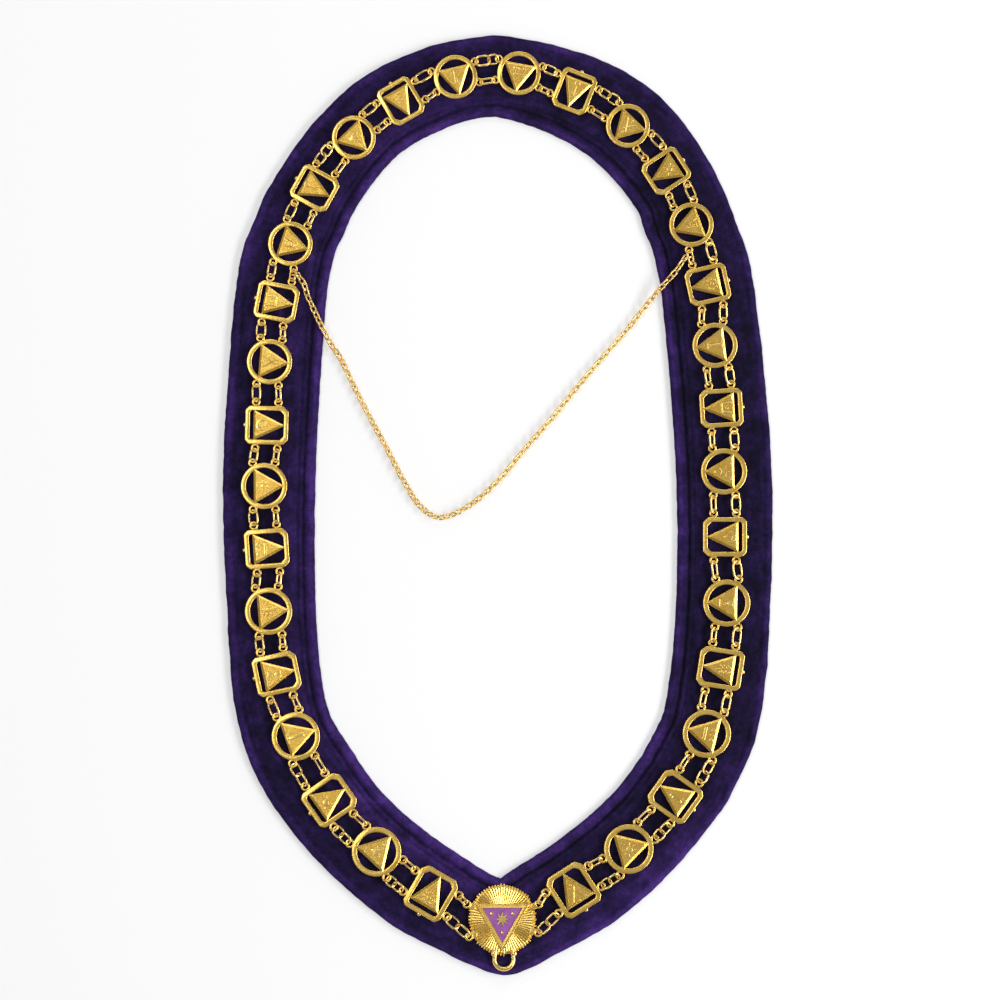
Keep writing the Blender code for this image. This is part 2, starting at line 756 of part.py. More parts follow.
def build_jewel(collection):
    """The sunburst with its lugs, triangular frame, hanging loop and first links."""
    placement = Matrix.Translation((JEWEL_CENTRE.x, JEWEL_CENTRE.y, 0.0))
    pieces = [add_object("sun", sun_mesh(), collection)]
    frame_outer = triangle_down(15.0 * MM, 8.8 * MM, -17.6 * MM)
    frame_inner = triangle_down(11.0 * MM, 6.5 * MM, -12.8 * MM)
    frame = [frame_outer, frame_inner]
    pieces.append(flat_solid("frame", frame, 4.0 * MM, FRAME_TOP, collection, placement))
    for string in ("inner", "outer"):
        pierced = string == "inner"
        pieces.append(jewel_lug_solid("lug", JEWEL_LUGS_LEFT, string, False, collection))
        pieces.append(jewel_lug_solid("lug", JEWEL_LUGS_RIGHT, string, pierced, collection))
    inner_start = jewel_lug(JEWEL_LUGS_LEFT, "inner")
    inner_end = world_lug(PLATES_LEFT[0], "inner", "last")
    outer_start = jewel_lug(JEWEL_LUGS_LEFT, "outer")
    outer_end = world_lug(PLATES_LEFT[0], "outer", "last")
    pieces.append(inner_link("link", inner_start, inner_end, collection))
    pieces.append(outer_tube("string", outer_start, outer_end, collection))
    pieces.append(round_wire("loop", loop_path(), LOOP_WIRE_RADIUS, collection))
    return fuse("sunburst_jewel", pieces, collection, make_gold("jewel_gold"))


def build_enamel(collection):
    placement = Matrix.Translation((JEWEL_CENTRE.x, JEWEL_CENTRE.y, 0.0))
    outline = triangle_down(10.3 * MM, 6.1 * MM, -12.0 * MM)
    bottom = SUN_TOP + GAP
    plate = flat_solid("jewel_enamel", [outline], bottom, ENAMEL_TOP, collection, placement)
    plate.data.materials.append(make_material("enamel_lilac", (0.31, 0.08, 0.36), 0.15, 0.0))


def build_ornament(collection):
    """A small raised star on the enamel."""
    placement = Matrix.Translation((JEWEL_CENTRE.x, JEWEL_CENTRE.y + 1.0 * MM, 0.0))
    outline = []
    for step in range(16):
        radius = 3.6 * MM if step % 2 == 0 else 1.6 * MM
        outline.append(polar(radius, 22.5 * step + 90))
    bottom = ENAMEL_TOP + GAP
    star = flat_solid("jewel_star", [outline], bottom, ORNAMENT_TOP, collection, placement)
    star.data.materials.append(make_gold("star_gold"))


def end_ring(name, start, end, collection):
    """A ring round the upper side of an inner link, and the place where the chain leaves it."""
    start, end = link_ends(start, end)
    heading = right_of((end - start).normalized())
    up = Vector((0.0, 0.0, 1.0))
    side = heading * math.cos(LINK_TILT) + up * math.sin(LINK_TILT)
    wire = (start + end) / 2 + side * LINK_HALF_WIDTH
    ring = wire_ring(END_RING_RADIUS, END_RING_WIRE_RADIUS)
    upright = Matrix((heading, up, heading.cross(up))).transposed().to_4x4()
    ring.transform(Matrix.Translation(wire) @ upright)
    return add_object(name, ring, collection), wire + heading * END_RING_RADIUS


def build_cross_chain(collection):
    """The light chain that hangs across the neck opening between two plates."""
    route = [Vector((point.x, point.y, point.height)) * MM for point in CHAIN_ROUTE]
    left = PLATES_LEFT[CHAIN_PLATE_INDEX:CHAIN_PLATE_INDEX + 2]
    right = PLATES_RIGHT[CHAIN_PLATE_INDEX:CHAIN_PLATE_INDEX + 2]
    left_start = world_lug(left[0], "inner", "next")
    left_end = world_lug(left[1], "inner", "last")
    right_start = world_lug(right[1], "inner", "next")
    right_end = world_lug(right[0], "inner", "last")
    first_ring, first = end_ring("ring", left_start, left_end, collection)
    last_ring, last = end_ring("ring", right_start, right_end, collection)
    path = even_path([first] + route + [last], CHAIN_SPACING)
    tube = round_wire("tube", path, CHAIN_RADIUS, collection, resolution=2)
    gold = make_gold("chain_gold")
    return fuse("cross_chain", [tube, first_ring, last_ring], collection, gold)


def shade(collection):
    for obj in collection.objects:
        obj.data.shade_smooth()
        obj.data.set_sharp_from_angle(angle=math.radians(40))


def main():
    clear_scene()
    collar = make_collection("chain_collar")
    build_velvet_band(collar)
    build_plates(collar)
    build_jewel(collar)
    build_enamel(collar)
    build_ornament(collar)
    build_cross_chain(collar)
    shade(collar)


main()
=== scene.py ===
import math
import random

import bmesh
import bpy
import numpy as np
from mathutils import Matrix, Vector, noise


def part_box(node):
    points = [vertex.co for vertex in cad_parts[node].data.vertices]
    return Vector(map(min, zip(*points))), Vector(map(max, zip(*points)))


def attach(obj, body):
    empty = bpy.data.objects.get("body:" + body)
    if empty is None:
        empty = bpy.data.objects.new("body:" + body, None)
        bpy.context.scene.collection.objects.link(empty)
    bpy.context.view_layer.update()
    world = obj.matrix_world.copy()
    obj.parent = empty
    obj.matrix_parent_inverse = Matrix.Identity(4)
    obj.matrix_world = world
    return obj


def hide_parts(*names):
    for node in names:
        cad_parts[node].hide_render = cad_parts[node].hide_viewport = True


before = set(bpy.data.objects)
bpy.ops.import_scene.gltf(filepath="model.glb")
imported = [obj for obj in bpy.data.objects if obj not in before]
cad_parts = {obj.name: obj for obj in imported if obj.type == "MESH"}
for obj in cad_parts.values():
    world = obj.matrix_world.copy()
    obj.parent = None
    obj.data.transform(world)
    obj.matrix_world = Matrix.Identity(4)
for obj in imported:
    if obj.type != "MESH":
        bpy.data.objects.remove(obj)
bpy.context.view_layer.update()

mm = 0.001
tiny = 0.02 * mm
up = Vector((0.0, 0.0, 1.0))


# Helpers that every piece uses

def addPiece(name, mesh, material):
    mesh.name = name
    mesh.materials.clear()
    mesh.materials.append(material)
    piece = bpy.data.objects.new(name, mesh)
    bpy.context.scene.collection.objects.link(piece)
    return piece


def takeMesh(obj):  # the finished mesh of an object, which is then removed
    bpy.context.view_layer.update()
    graph = bpy.context.evaluated_depsgraph_get()
    mesh = bpy.data.meshes.new_from_object(obj.evaluated_get(graph))
    bpy.data.objects.remove(obj, do_unlink=True)
    return mesh


def shadeSmooth(mesh, degrees=35):
    mesh.shade_smooth()
    mesh.set_sharp_from_angle(angle=math.radians(degrees))


def nodePoints(name):  # each corner of a CAD node once
    places = np.array([corner.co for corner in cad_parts[name].data.vertices])
    return np.unique(np.round(places, 6), axis=0)


def polar(radius, degrees):
    angle = math.radians(degrees)
    return Vector((radius * math.cos(angle), radius * math.sin(angle)))


def smoothPoint(before, start, end, after, share):
    squared = share * share
    cubed = squared * share
    return 0.5 * (
        2.0 * start
        + (end - before) * share
        + (2.0 * before - 5.0 * start + 4.0 * end - after) * squared
        + (3.0 * start - before - 3.0 * end + after) * cubed
    )


def smoothRoute(points, steps):
    route = []
    last = len(points) - 1
    for index in range(last):
        before = points[index - 1] if index > 0 else 2.0 * points[0] - points[1]
        after = points[index + 2] if index + 2 <= last else 2.0 * points[last] - points[last - 1]
        for step in range(steps):
            route.append(smoothPoint(before, points[index], points[index + 1], after, step / steps))
    route.append(points[last])
    return route


def bump(distance, centre, width):  # a smooth hump, 1 at its centre
    return math.exp(-((distance - centre) / width) ** 2)


def blendIn(value, low, high):
    share = min(max((value - low) / (high - low), 0.0), 1.0)
    return share * share * (3.0 - 2.0 * share)


def flatShell(outlines, low, high, rounding, steps=2):  # a flat casting with rounded edges
    curve = bpy.data.curves.new("outline", "CURVE")
    curve.dimensions = "2D"
    curve.fill_mode = "BOTH"
    curve.extrude = (high - low) / 2 - rounding
    curve.bevel_depth = rounding
    curve.bevel_resolution = steps
    curve.offset = -rounding
    for outline in outlines:
        spline = curve.splines.new("POLY")
        spline.points.add(len(outline) - 1)
        for point, place in zip(spline.points, outline):
            point.co = (place[0], place[1], 0.0, 1.0)
        spline.use_cyclic_u = True
    holder = bpy.data.objects.new("outline", curve)
    bpy.context.scene.collection.objects.link(holder)
    mesh = takeMesh(holder)
    bpy.data.curves.remove(curve)
    mesh.transform(Matrix.Translation((0.0, 0.0, (low + high) / 2)))
    welded = bmesh.new()
    welded.from_mesh(mesh)
    bmesh.ops.remove_doubles(welded, verts=welded.verts, dist=0.000001)
    bmesh.ops.recalc_face_normals(welded, faces=welded.faces)
    welded.to_mesh(mesh)
    welded.free()
    shadeSmooth(mesh)
    return mesh


def facetedShell(outlines, heights, softening=0.1 * mm):  # outlines one inside the other, from the bottom up
    shell = bmesh.new()
    rings = []
    for outline, height in zip(outlines, heights):
        rings.append([shell.verts.new((place[0], place[1], height)) for place in outline])
    count = len(rings[0])
    for lower, upper in zip(rings, rings[1:]):
        for side in range(count):
            other = (side + 1) % count
            shell.faces.new((lower[side], lower[other], upper[other], upper[side]))
    shell.faces.new(rings[0])
    shell.faces.new(rings[-1])
    bmesh.ops.recalc_face_normals(shell, faces=shell.faces)
    bmesh.ops.bevel(shell, geom=shell.edges[:], offset=softening, segments=2, profile=0.5, affect="EDGES")
    mesh = bpy.data.meshes.new("faceted")
    shell.to_mesh(mesh)
    shell.free()
    return mesh


def wireShell(route, radius, closed=False, steps=2):  # a round wire along a route
    curve = bpy.data.curves.new("wire", "CURVE")
    curve.dimensions = "3D"
    curve.bevel_depth = radius
    curve.bevel_resolution = steps
    curve.use_fill_caps = not closed
    spline = curve.splines.new("POLY")
    spline.points.add(len(route) - 1)
    for point, place in zip(spline.points, route):
        point.co = (*place, 1.0)
    spline.use_cyclic_u = closed
    holder = bpy.data.objects.new("wire", curve)
    bpy.context.scene.collection.objects.link(holder)
    mesh = takeMesh(holder)
    bpy.data.curves.remove(curve)
    welded = bmesh.new()
    welded.from_mesh(mesh)
    bmesh.ops.remove_doubles(welded, verts=welded.verts, dist=0.000001)
    bmesh.ops.recalc_face_normals(welded, faces=welded.faces)
    welded.to_mesh(mesh)
    welded.free()
    shadeSmooth(mesh, 60)
    return mesh


def domeShell(radius, height, sides=14, rings=5):  # a round boss that stands on its middle
    dome = bmesh.new()
    bmesh.ops.create_uvsphere(dome, u_segments=sides, v_segments=2 * rings, radius=1.0)
    bmesh.ops.scale(dome, vec=(radius, radius, height), verts=dome.verts)
    mesh = bpy.data.meshes.new("dome")
    dome.to_mesh(mesh)
    dome.free()
    mesh.shade_smooth()
    return mesh


def joinShells(shells):  # each row is (mesh, its place, its level of wear and painted shade: recessed shells are painted darker, raised ones lighter)
    joined = bmesh.new()
    wearAndShade = joined.verts.layers.float.new("wearAndShade")
    for mesh, place, wearAndShadeLevel in shells:
        first = len(joined.verts)
        moved = mesh.copy()
        moved.transform(place)
        joined.from_mesh(moved)
        bpy.data.meshes.remove(moved)
        joined.verts.ensure_lookup_table()
        for corner in joined.verts[first:]:
            corner[wearAndShade] = wearAndShadeLevel
    mesh = bpy.data.meshes.new("joined")
    joined.to_mesh(mesh)
    joined.free()
    return mesh


# Geometry Nodes helpers

def startTree(name, sockets):
    tree = bpy.data.node_groups.new(name, "GeometryNodeTree")
    tree.interface.new_socket("Geometry", in_out="OUTPUT", socket_type="NodeSocketGeometry")
    tree.interface.new_socket("Geometry", in_out="INPUT", socket_type="NodeSocketGeometry")
    for label, kind in sockets:
        tree.interface.new_socket(label, in_out="INPUT", socket_type="NodeSocket" + kind)
    return tree, tree.nodes.new("NodeGroupInput"), tree.nodes.new("NodeGroupOutput")


def addNode(tree, kind, **settings):
    node = tree.nodes.new(kind)
    for name, value in settings.items():
        setattr(node, name, value)
    return node


def addMath(tree, operation, first, second=None):
    node = addNode(tree, "ShaderNodeMath", operation=operation)
    for socket, value in zip(node.inputs, (first, second)):
        if value is None:
            continue
        if isinstance(value, bpy.types.NodeSocket):
            tree.links.new(value, socket)
        else:
            socket.default_value = value
    return node.outputs[0]


def runTree(piece, tree, values):  # the tree's result as a plain mesh
    modifier = piece.modifiers.new(tree.name, "NODES")
    modifier.node_group = tree
    for item in tree.interface.items_tree:
        if item.item_type == "SOCKET" and item.in_out == "INPUT" and item.name in values:
            modifier[item.identifier] = values[item.name]
    mesh = takeMesh(piece)
    bpy.data.node_groups.remove(tree)
    return mesh


def ovalOfWire(tree, inputs):  # a link: a circle drawn out along X, swept with round wire
    ring = addNode(tree, "GeometryNodeCurvePrimitiveCircle")
    ring.inputs["Resolution"].default_value = 20
    tree.links.new(inputs.outputs["Half Width"], ring.inputs["Radius"])
    place = addNode(tree, "GeometryNodeInputPosition")
    split = addNode(tree, "ShaderNodeSeparateXYZ")
    tree.links.new(place.outputs[0], split.inputs[0])
    side = addMath(tree, "SIGN", split.outputs["X"])
    half = addMath(tree, "MULTIPLY", inputs.outputs["Straight"], 0.5)
    shift = addNode(tree, "ShaderNodeCombineXYZ")
    tree.links.new(addMath(tree, "MULTIPLY", side, half), shift.inputs["X"])
    drawn = addNode(tree, "GeometryNodeSetPosition")
    tree.links.new(ring.outputs["Curve"], drawn.inputs["Geometry"])
    tree.links.new(shift.outputs[0], drawn.inputs["Offset"])
    wire = addNode(tree, "GeometryNodeCurvePrimitiveCircle")
    wire.inputs["Resolution"].default_value = 8
    tree.links.new(inputs.outputs["Wire Radius"], wire.inputs["Radius"])
    swept = addNode(tree, "GeometryNodeCurveToMesh")
    tree.links.new(drawn.outputs[0], swept.inputs["Curve"])
    tree.links.new(wire.outputs["Curve"], swept.inputs["Profile Curve"])
    return swept.outputs[0]


def finishTree(tree, inputs, outputs, geometry, rounded=True):
    smooth = addNode(tree, "GeometryNodeSetShadeSmooth")
    smooth.inputs["Shade Smooth"].default_value = rounded
    real = addNode(tree, "GeometryNodeRealizeInstances")
    paint = addNode(tree, "GeometryNodeSetMaterial")
    tree.links.new(geometry, smooth.inputs["Geometry"])
    tree.links.new(smooth.outputs[0], real.inputs[0])
    tree.links.new(real.outputs[0], paint.inputs["Geometry"])
    tree.links.new(inputs.outputs["Material"], paint.inputs["Material"])
    tree.links.new(paint.outputs[0], outputs.inputs[0])


linkSockets = [("Half Width", "Float"), ("Straight", "Float"), ("Wire Radius", "Float"), ("Material", "Material")]


def placedLinksTree():  # a link on each point, turned and drawn out as the point says
    tree, inputs, outputs = startTree("placedLinks", linkSockets)
    turn = addNode(tree, "GeometryNodeInputNamedAttribute", data_type="FLOAT_VECTOR")
    turn.inputs["Name"].default_value = "turn"
    stretch = addNode(tree, "GeometryNodeInputNamedAttribute", data_type="FLOAT_VECTOR")
    stretch.inputs["Name"].default_value = "stretch"
    scatter = addNode(tree, "GeometryNodeInstanceOnPoints")
    tree.links.new(inputs.outputs["Geometry"], scatter.inputs["Points"])
    tree.links.new(ovalOfWire(tree, inputs), scatter.inputs["Instance"])
    tree.links.new(turn.outputs["Attribute"], scatter.inputs["Rotation"])
    tree.links.new(stretch.outputs["Attribute"], scatter.inputs["Scale"])
    finishTree(tree, inputs, outputs, scatter.outputs[0])
    return tree


def alongRoute(tree, inputs, outputs, instance, rollSocket):  # copies along a curve, rolled about it
    points = addNode(tree, "GeometryNodeCurveToPoints", mode="LENGTH")
    tree.links.new(inputs.outputs["Geometry"], points.inputs["Curve"])
    tree.links.new(inputs.outputs["Pitch"], points.inputs["Length"])
    aim = addNode(tree, "FunctionNodeAlignRotationToVector", axis="X")
    tree.links.new(points.outputs["Tangent"], aim.inputs["Vector"])
    roll = addNode(tree, "ShaderNodeCombineXYZ")
    tree.links.new(rollSocket, roll.inputs["X"])
    turned = addNode(tree, "FunctionNodeRotateRotation", rotation_space="LOCAL")
    tree.links.new(aim.outputs[0], turned.inputs["Rotation"])
    tree.links.new(roll.outputs[0], turned.inputs["Rotate By"])
    scatter = addNode(tree, "GeometryNodeInstanceOnPoints")
    tree.links.new(points.outputs["Points"], scatter.inputs["Points"])
    tree.links.new(instance, scatter.inputs["Instance"])
    tree.links.new(turned.outputs[0], scatter.inputs["Rotation"])
    finishTree(tree, inputs, outputs, scatter.outputs[0])


def curbChainTree():  # links that lean to the left and right in turn
    sockets = [("Pitch", "Float"), ("Lean", "Float"), ("Looseness", "Float"), ("Seed", "Int")]
    tree, inputs, outputs = startTree("curbChain", sockets + linkSockets)
    number = addNode(tree, "GeometryNodeInputIndex").outputs[0]
    even = addMath(tree, "MULTIPLY", addMath(tree, "MODULO", number, 2.0), 2.0)
    lean = addMath(tree, "MULTIPLY", addMath(tree, "SUBTRACT", even, 1.0), inputs.outputs["Lean"])
    stray = addNode(tree, "FunctionNodeRandomValue", data_type="FLOAT")
    tree.links.new(addMath(tree, "MULTIPLY", inputs.outputs["Looseness"], -1.0), stray.inputs[2])
    tree.links.new(inputs.outputs["Looseness"], stray.inputs[3])
    tree.links.new(inputs.outputs["Seed"], stray.inputs["Seed"])
    alongRoute(tree, inputs, outputs, ovalOfWire(tree, inputs), addMath(tree, "ADD", lean, stray.outputs[1]))
    return tree


def stitchTree():  # short arched threads along a seam
    sockets = [("Pitch", "Float"), ("Length", "Float"), ("Thread Radius", "Float"), ("Rise", "Float")]
    tree, inputs, outputs = startTree("stitches", sockets + [("Material", "Material")])
    arch = addNode(tree, "GeometryNodeCurveQuadraticBezier")
    arch.inputs["Resolution"].default_value = 4
    half = addMath(tree, "MULTIPLY", inputs.outputs["Length"], 0.5)
    ends = ((addMath(tree, "MULTIPLY", half, -1.0), "Start"), (half, "End"))
    for value, label in ends:
        end = addNode(tree, "ShaderNodeCombineXYZ")
        tree.links.new(value, end.inputs["X"])
        tree.links.new(end.outputs[0], arch.inputs[label])
    top = addNode(tree, "ShaderNodeCombineXYZ")
    tree.links.new(inputs.outputs["Rise"], top.inputs["Z"])
    tree.links.new(top.outputs[0], arch.inputs["Middle"])
    thread = addNode(tree, "GeometryNodeCurvePrimitiveCircle")
    thread.inputs["Resolution"].default_value = 6
    tree.links.new(inputs.outputs["Thread Radius"], thread.inputs["Radius"])
    swept = addNode(tree, "GeometryNodeCurveToMesh")
    swept.inputs["Fill Caps"].default_value = True
    tree.links.new(arch.outputs[0], swept.inputs["Curve"])
    tree.links.new(thread.outputs["Curve"], swept.inputs["Profile Curve"])
    level = addMath(tree, "MULTIPLY", inputs.outputs["Rise"], 0.0)
    alongRoute(tree, inputs, outputs, swept.outputs[0], level)
    return tree


def raysTree():  # copies of one ray round a centre, each a little longer or shorter
    sockets = [("Ray", "Object"), ("Rays", "Int"), ("Unevenness", "Float"), ("Seed", "Int"), ("Material", "Material")]
    tree, inputs, outputs = startTree("sunRays", sockets)
    spokes = addNode(tree, "GeometryNodeMeshLine", mode="OFFSET")
    spokes.inputs["Offset"].default_value = (0.0, 0.0, 0.0)
    tree.links.new(inputs.outputs["Rays"], spokes.inputs["Count"])
    number = addNode(tree, "GeometryNodeInputIndex").outputs[0]
    share = addMath(tree, "DIVIDE", number, inputs.outputs["Rays"])
    turn = addNode(tree, "ShaderNodeCombineXYZ")
    tree.links.new(addMath(tree, "MULTIPLY", share, 2.0 * math.pi), turn.inputs["Z"])
    stray = addNode(tree, "FunctionNodeRandomValue", data_type="FLOAT")
    tree.links.new(addMath(tree, "SUBTRACT", 1.0, inputs.outputs["Unevenness"]), stray.inputs[2])
    stray.inputs[3].default_value = 1.0
    tree.links.new(inputs.outputs["Seed"], stray.inputs["Seed"])
    reach = addNode(tree, "ShaderNodeCombineXYZ")
    tree.links.new(stray.outputs[1], reach.inputs["X"])
    reach.inputs["Y"].default_value = 1.0
    reach.inputs["Z"].default_value = 1.0
    ray = addNode(tree, "GeometryNodeObjectInfo")
    tree.links.new(inputs.outputs["Ray"], ray.inputs["Object"])
    scatter = addNode(tree, "GeometryNodeInstanceOnPoints")
    tree.links.new(spokes.outputs[0], scatter.inputs["Points"])
    tree.links.new(ray.outputs["Geometry"], scatter.inputs["Instance"])
    tree.links.new(turn.outputs[0], scatter.inputs["Rotation"])
    tree.links.new(reach.outputs[0], scatter.inputs["Scale"])
    finishTree(tree, inputs, outputs, scatter.outputs[0], rounded=False)
    return tree


# Materials

def newMaterial(name, roughness, metallic=0.0):
    material = bpy.data.materials.new(name)
    material.use_nodes = True
    tree = material.node_tree
    shader = tree.nodes["Principled BSDF"]
    shader.inputs["Roughness"].default_value = roughness
    shader.inputs["Metallic"].default_value = metallic
    return material, tree, shader


def addNoise(tree, source, scale, detail=3.0, roughness=0.5):
    cloud = addNode(tree, "ShaderNodeTexNoise")
    cloud.inputs["Scale"].default_value = scale
    cloud.inputs["Detail"].default_value = detail
    cloud.inputs["Roughness"].default_value = roughness
    tree.links.new(source, cloud.inputs["Vector"])
    return cloud.outputs["Fac"]


def addRamp(tree, value, stops):
    ramp = addNode(tree, "ShaderNodeValToRGB")
    while len(ramp.color_ramp.elements) < len(stops):
        ramp.color_ramp.elements.new(0.5)
    for element, (place, colour) in zip(ramp.color_ramp.elements, stops):
        element.position = place
        element.color = (*colour, 1.0)
    tree.links.new(value, ramp.inputs["Fac"])
    return ramp.outputs["Color"]


def addRange(tree, value, low, high, newLow, newHigh):
    remap = addNode(tree, "ShaderNodeMapRange")
    for name, number in (("From Min", low), ("From Max", high), ("To Min", newLow), ("To Max", newHigh)):
        remap.inputs[name].default_value = number
    tree.links.new(value, remap.inputs["Value"])
    return remap.outputs["Result"]


def addBump(tree, shader, height, distance, strength, before=None):
    node = addNode(tree, "ShaderNodeBump")
    node.inputs["Distance"].default_value = distance
    node.inputs["Strength"].default_value = strength
    tree.links.new(height, node.inputs["Height"])
    if before is not None:
        tree.links.new(before, node.inputs["Normal"])
    tree.links.new(node.outputs[0], shader.inputs["Normal"])
    return node.outputs[0]


velvetLook = {
    "deep": (0.0045, 0.0030, 0.0130),
    "shade": (0.0120, 0.0060, 0.0370),
    "middle": (0.0260, 0.0110, 0.0800),
    "light": (0.0600, 0.0240, 0.1750),
    "sheen": (0.30, 0.20, 0.85),
    "sheenWeight": 0.22,
    "pileScale": 1500.0,
    "patchScale": 120.0,
    "fleckScale": 420.0,
    "streakScale": 260.0,
}


def velvetMaterial():
    material, tree, shader = newMaterial("velvetPurple", 0.92)
    shader.inputs["Specular IOR Level"].default_value = 0.12
    shader.inputs["Sheen Weight"].default_value = velvetLook["sheenWeight"]
    shader.inputs["Sheen Roughness"].default_value = 0.35
    shader.inputs["Sheen Tint"].default_value = (*velvetLook["sheen"], 1.0)
    place = addNode(tree, "ShaderNodeTexCoord").outputs["Object"]
    # painted shade and sheen with mottling, set on the band's corners
    shadeSheenAndMottle = addNode(tree, "ShaderNodeAttribute", attribute_name="shadeSheenAndMottle").outputs["Fac"]
    along = addNode(tree, "ShaderNodeUVMap", uv_map="nap").outputs["UV"]
    stretch = addNode(tree, "ShaderNodeMapping")
    stretch.inputs["Scale"].default_value = (0.16, 1.0, 1.0)
    tree.links.new(along, stretch.inputs["Vector"])
    pile = addNoise(tree, place, velvetLook["pileScale"], 2.0, 0.6)
    patch = addNoise(tree, place, velvetLook["patchScale"], 4.0, 0.6)
    fleck = addNoise(tree, place, velvetLook["fleckScale"], 3.0, 0.65)
    streak = addNoise(tree, stretch.outputs[0], velvetLook["streakScale"], 3.0, 0.6)
    mottle = addMath(tree, "ADD", addRange(tree, patch, 0.3, 0.7, -0.20, 0.20),
                     addRange(tree, streak, 0.3, 0.7, -0.13, 0.13))
    mottle = addMath(tree, "ADD", mottle, addRange(tree, fleck, 0.3, 0.7, -0.15, 0.15))
    mottle = addMath(tree, "ADD", mottle, addRange(tree, pile, 0.3, 0.7, -0.06, 0.06))
    shade = addMath(tree, "ADD", shadeSheenAndMottle, mottle)
    colour = addRamp(tree, shade, [(0.0, velvetLook["deep"]), (0.3, velvetLook["shade"]),
                                   (0.6, velvetLook["middle"]), (1.0, velvetLook["light"])])
    tree.links.new(colour, shader.inputs["Base Color"])
    coarse = addBump(tree, shader, patch, 0.5 * mm, 0.5)
    lines = addBump(tree, shader, streak, 0.3 * mm, 0.4, coarse)
    addBump(tree, shader, pile, 0.12 * mm, 0.6, lines)
    return material


giltLook = {
    # recessShade is painted shade for the low parts; crest is the lighter gilt of the raised parts
    "recessShade": (0.44, 0.19, 0.020),
    "body": (0.76, 0.46, 0.066),
    "crest": (0.97, 0.70, 0.200),
    "coat": 0.5,
    "roughLow": 0.17,
    "roughHigh": 0.34,
    "castScale": 1900.0,
}


def giltMaterial():
    material, tree, shader = newMaterial("giltMetal", 0.24, 1.0)
    shader.inputs["Coat Weight"].default_value = giltLook["coat"]
    shader.inputs["Coat Roughness"].default_value = 0.12
    place = addNode(tree, "ShaderNodeTexCoord").outputs["Object"]
    # painted shade: shells set low, such as the backing between the rays, are painted darker; raised ones are lighter,
    # as worn gilt
    wearAndShade = addNode(tree, "ShaderNodeAttribute", attribute_name="wearAndShade").outputs["Fac"]
    cast = addNoise(tree, place, giltLook["castScale"], 3.0, 0.6)
    blotch = addNoise(tree, place, 220.0, 3.0, 0.6)
    wearShadeAndBlotch = addMath(tree, "ADD", wearAndShade, addRange(tree, blotch, 0.3, 0.7, -0.14, 0.14))
    wearShadeAndBlotch = addMath(tree, "ADD", wearShadeAndBlotch, addRange(tree, cast, 0.3, 0.7, -0.10, 0.10))
    colour = addRamp(tree, wearShadeAndBlotch, [(0.05, giltLook["recessShade"]), (0.55, giltLook["body"]), (1.0, giltLook["crest"])])
    tree.links.new(colour, shader.inputs["Base Color"])
    rough = addRange(tree, wearShadeAndBlotch, 0.2, 1.0, giltLook["roughHigh"], giltLook["roughLow"])
    tree.links.new(rough, shader.inputs["Roughness"])
    dull = addMath(tree, "MULTIPLY", addMath(tree, "SUBTRACT", 1.15, wearAndShade), cast)
    addBump(tree, shader, dull, 0.25 * mm, 0.7)
    return material


def wireMaterial():  # links and chain: plain bright gilt wire
    material, tree, shader = newMaterial("giltWire", 0.2, 1.0)
    shader.inputs["Coat Weight"].default_value = giltLook["coat"]
    shader.inputs["Coat Roughness"].default_value = 0.12
    place = addNode(tree, "ShaderNodeTexCoord").outputs["Object"]
    blotch = addNoise(tree, place, 420.0, 3.0, 0.6)
    colour = addRamp(tree, blotch, [(0.25, (0.74, 0.45, 0.11)), (0.55, (0.95, 0.68, 0.24)), (0.8, (1.0, 0.80, 0.40))])
    tree.links.new(colour, shader.inputs["Base Color"])
    tree.links.new(addRange(tree, blotch, 0.3, 0.7, 0.26, 0.14), shader.inputs["Roughness"])
    addBump(tree, shader, addNoise(tree, place, 2400.0, 2.0), 0.06 * mm, 0.5)
    return material


def enamelMaterial():
    material, tree, shader = newMaterial("lilacEnamel", 0.16)
    shader.inputs["Coat Weight"].default_value = 0.6
    shader.inputs["Coat Roughness"].default_value = 0.06
    place = addNode(tree, "ShaderNodeTexCoord").outputs["Object"]
    cloud = addNoise(tree, place, 260.0, 3.0, 0.6)
    colour = addRamp(tree, cloud, [(0.3, (0.26, 0.065, 0.31)), (0.7, (0.36, 0.12, 0.42))])
    tree.links.new(colour, shader.inputs["Base Color"])
    addBump(tree, shader, cloud, 0.15 * mm, 0.25)
    return material


def threadMaterial():
    material, tree, shader = newMaterial("grooveShadeThread", 0.9)
    shader.inputs["Specular IOR Level"].default_value = 0.1
    place = addNode(tree, "ShaderNodeTexCoord").outputs["Object"]
    twist = addNoise(tree, place, 2600.0, 2.0)
    # painted shade: the thread is as dark as the shade in the seam's groove, so the seam reads as one dark line
    colour = addRamp(tree, twist, [(0.3, (0.007, 0.004, 0.020)), (0.7, (0.014, 0.007, 0.042))])
    tree.links.new(colour, shader.inputs["Base Color"])
    addBump(tree, shader, twist, 0.08 * mm, 0.7)
    return material


velvet = velvetMaterial()
gilt = giltMaterial()
wireGilt = wireMaterial()
enamel = enamelMaterial()
thread = threadMaterial()
print("materials ready")


# Velvet band: a padded, rolled band lofted round the edges of its CAD solid

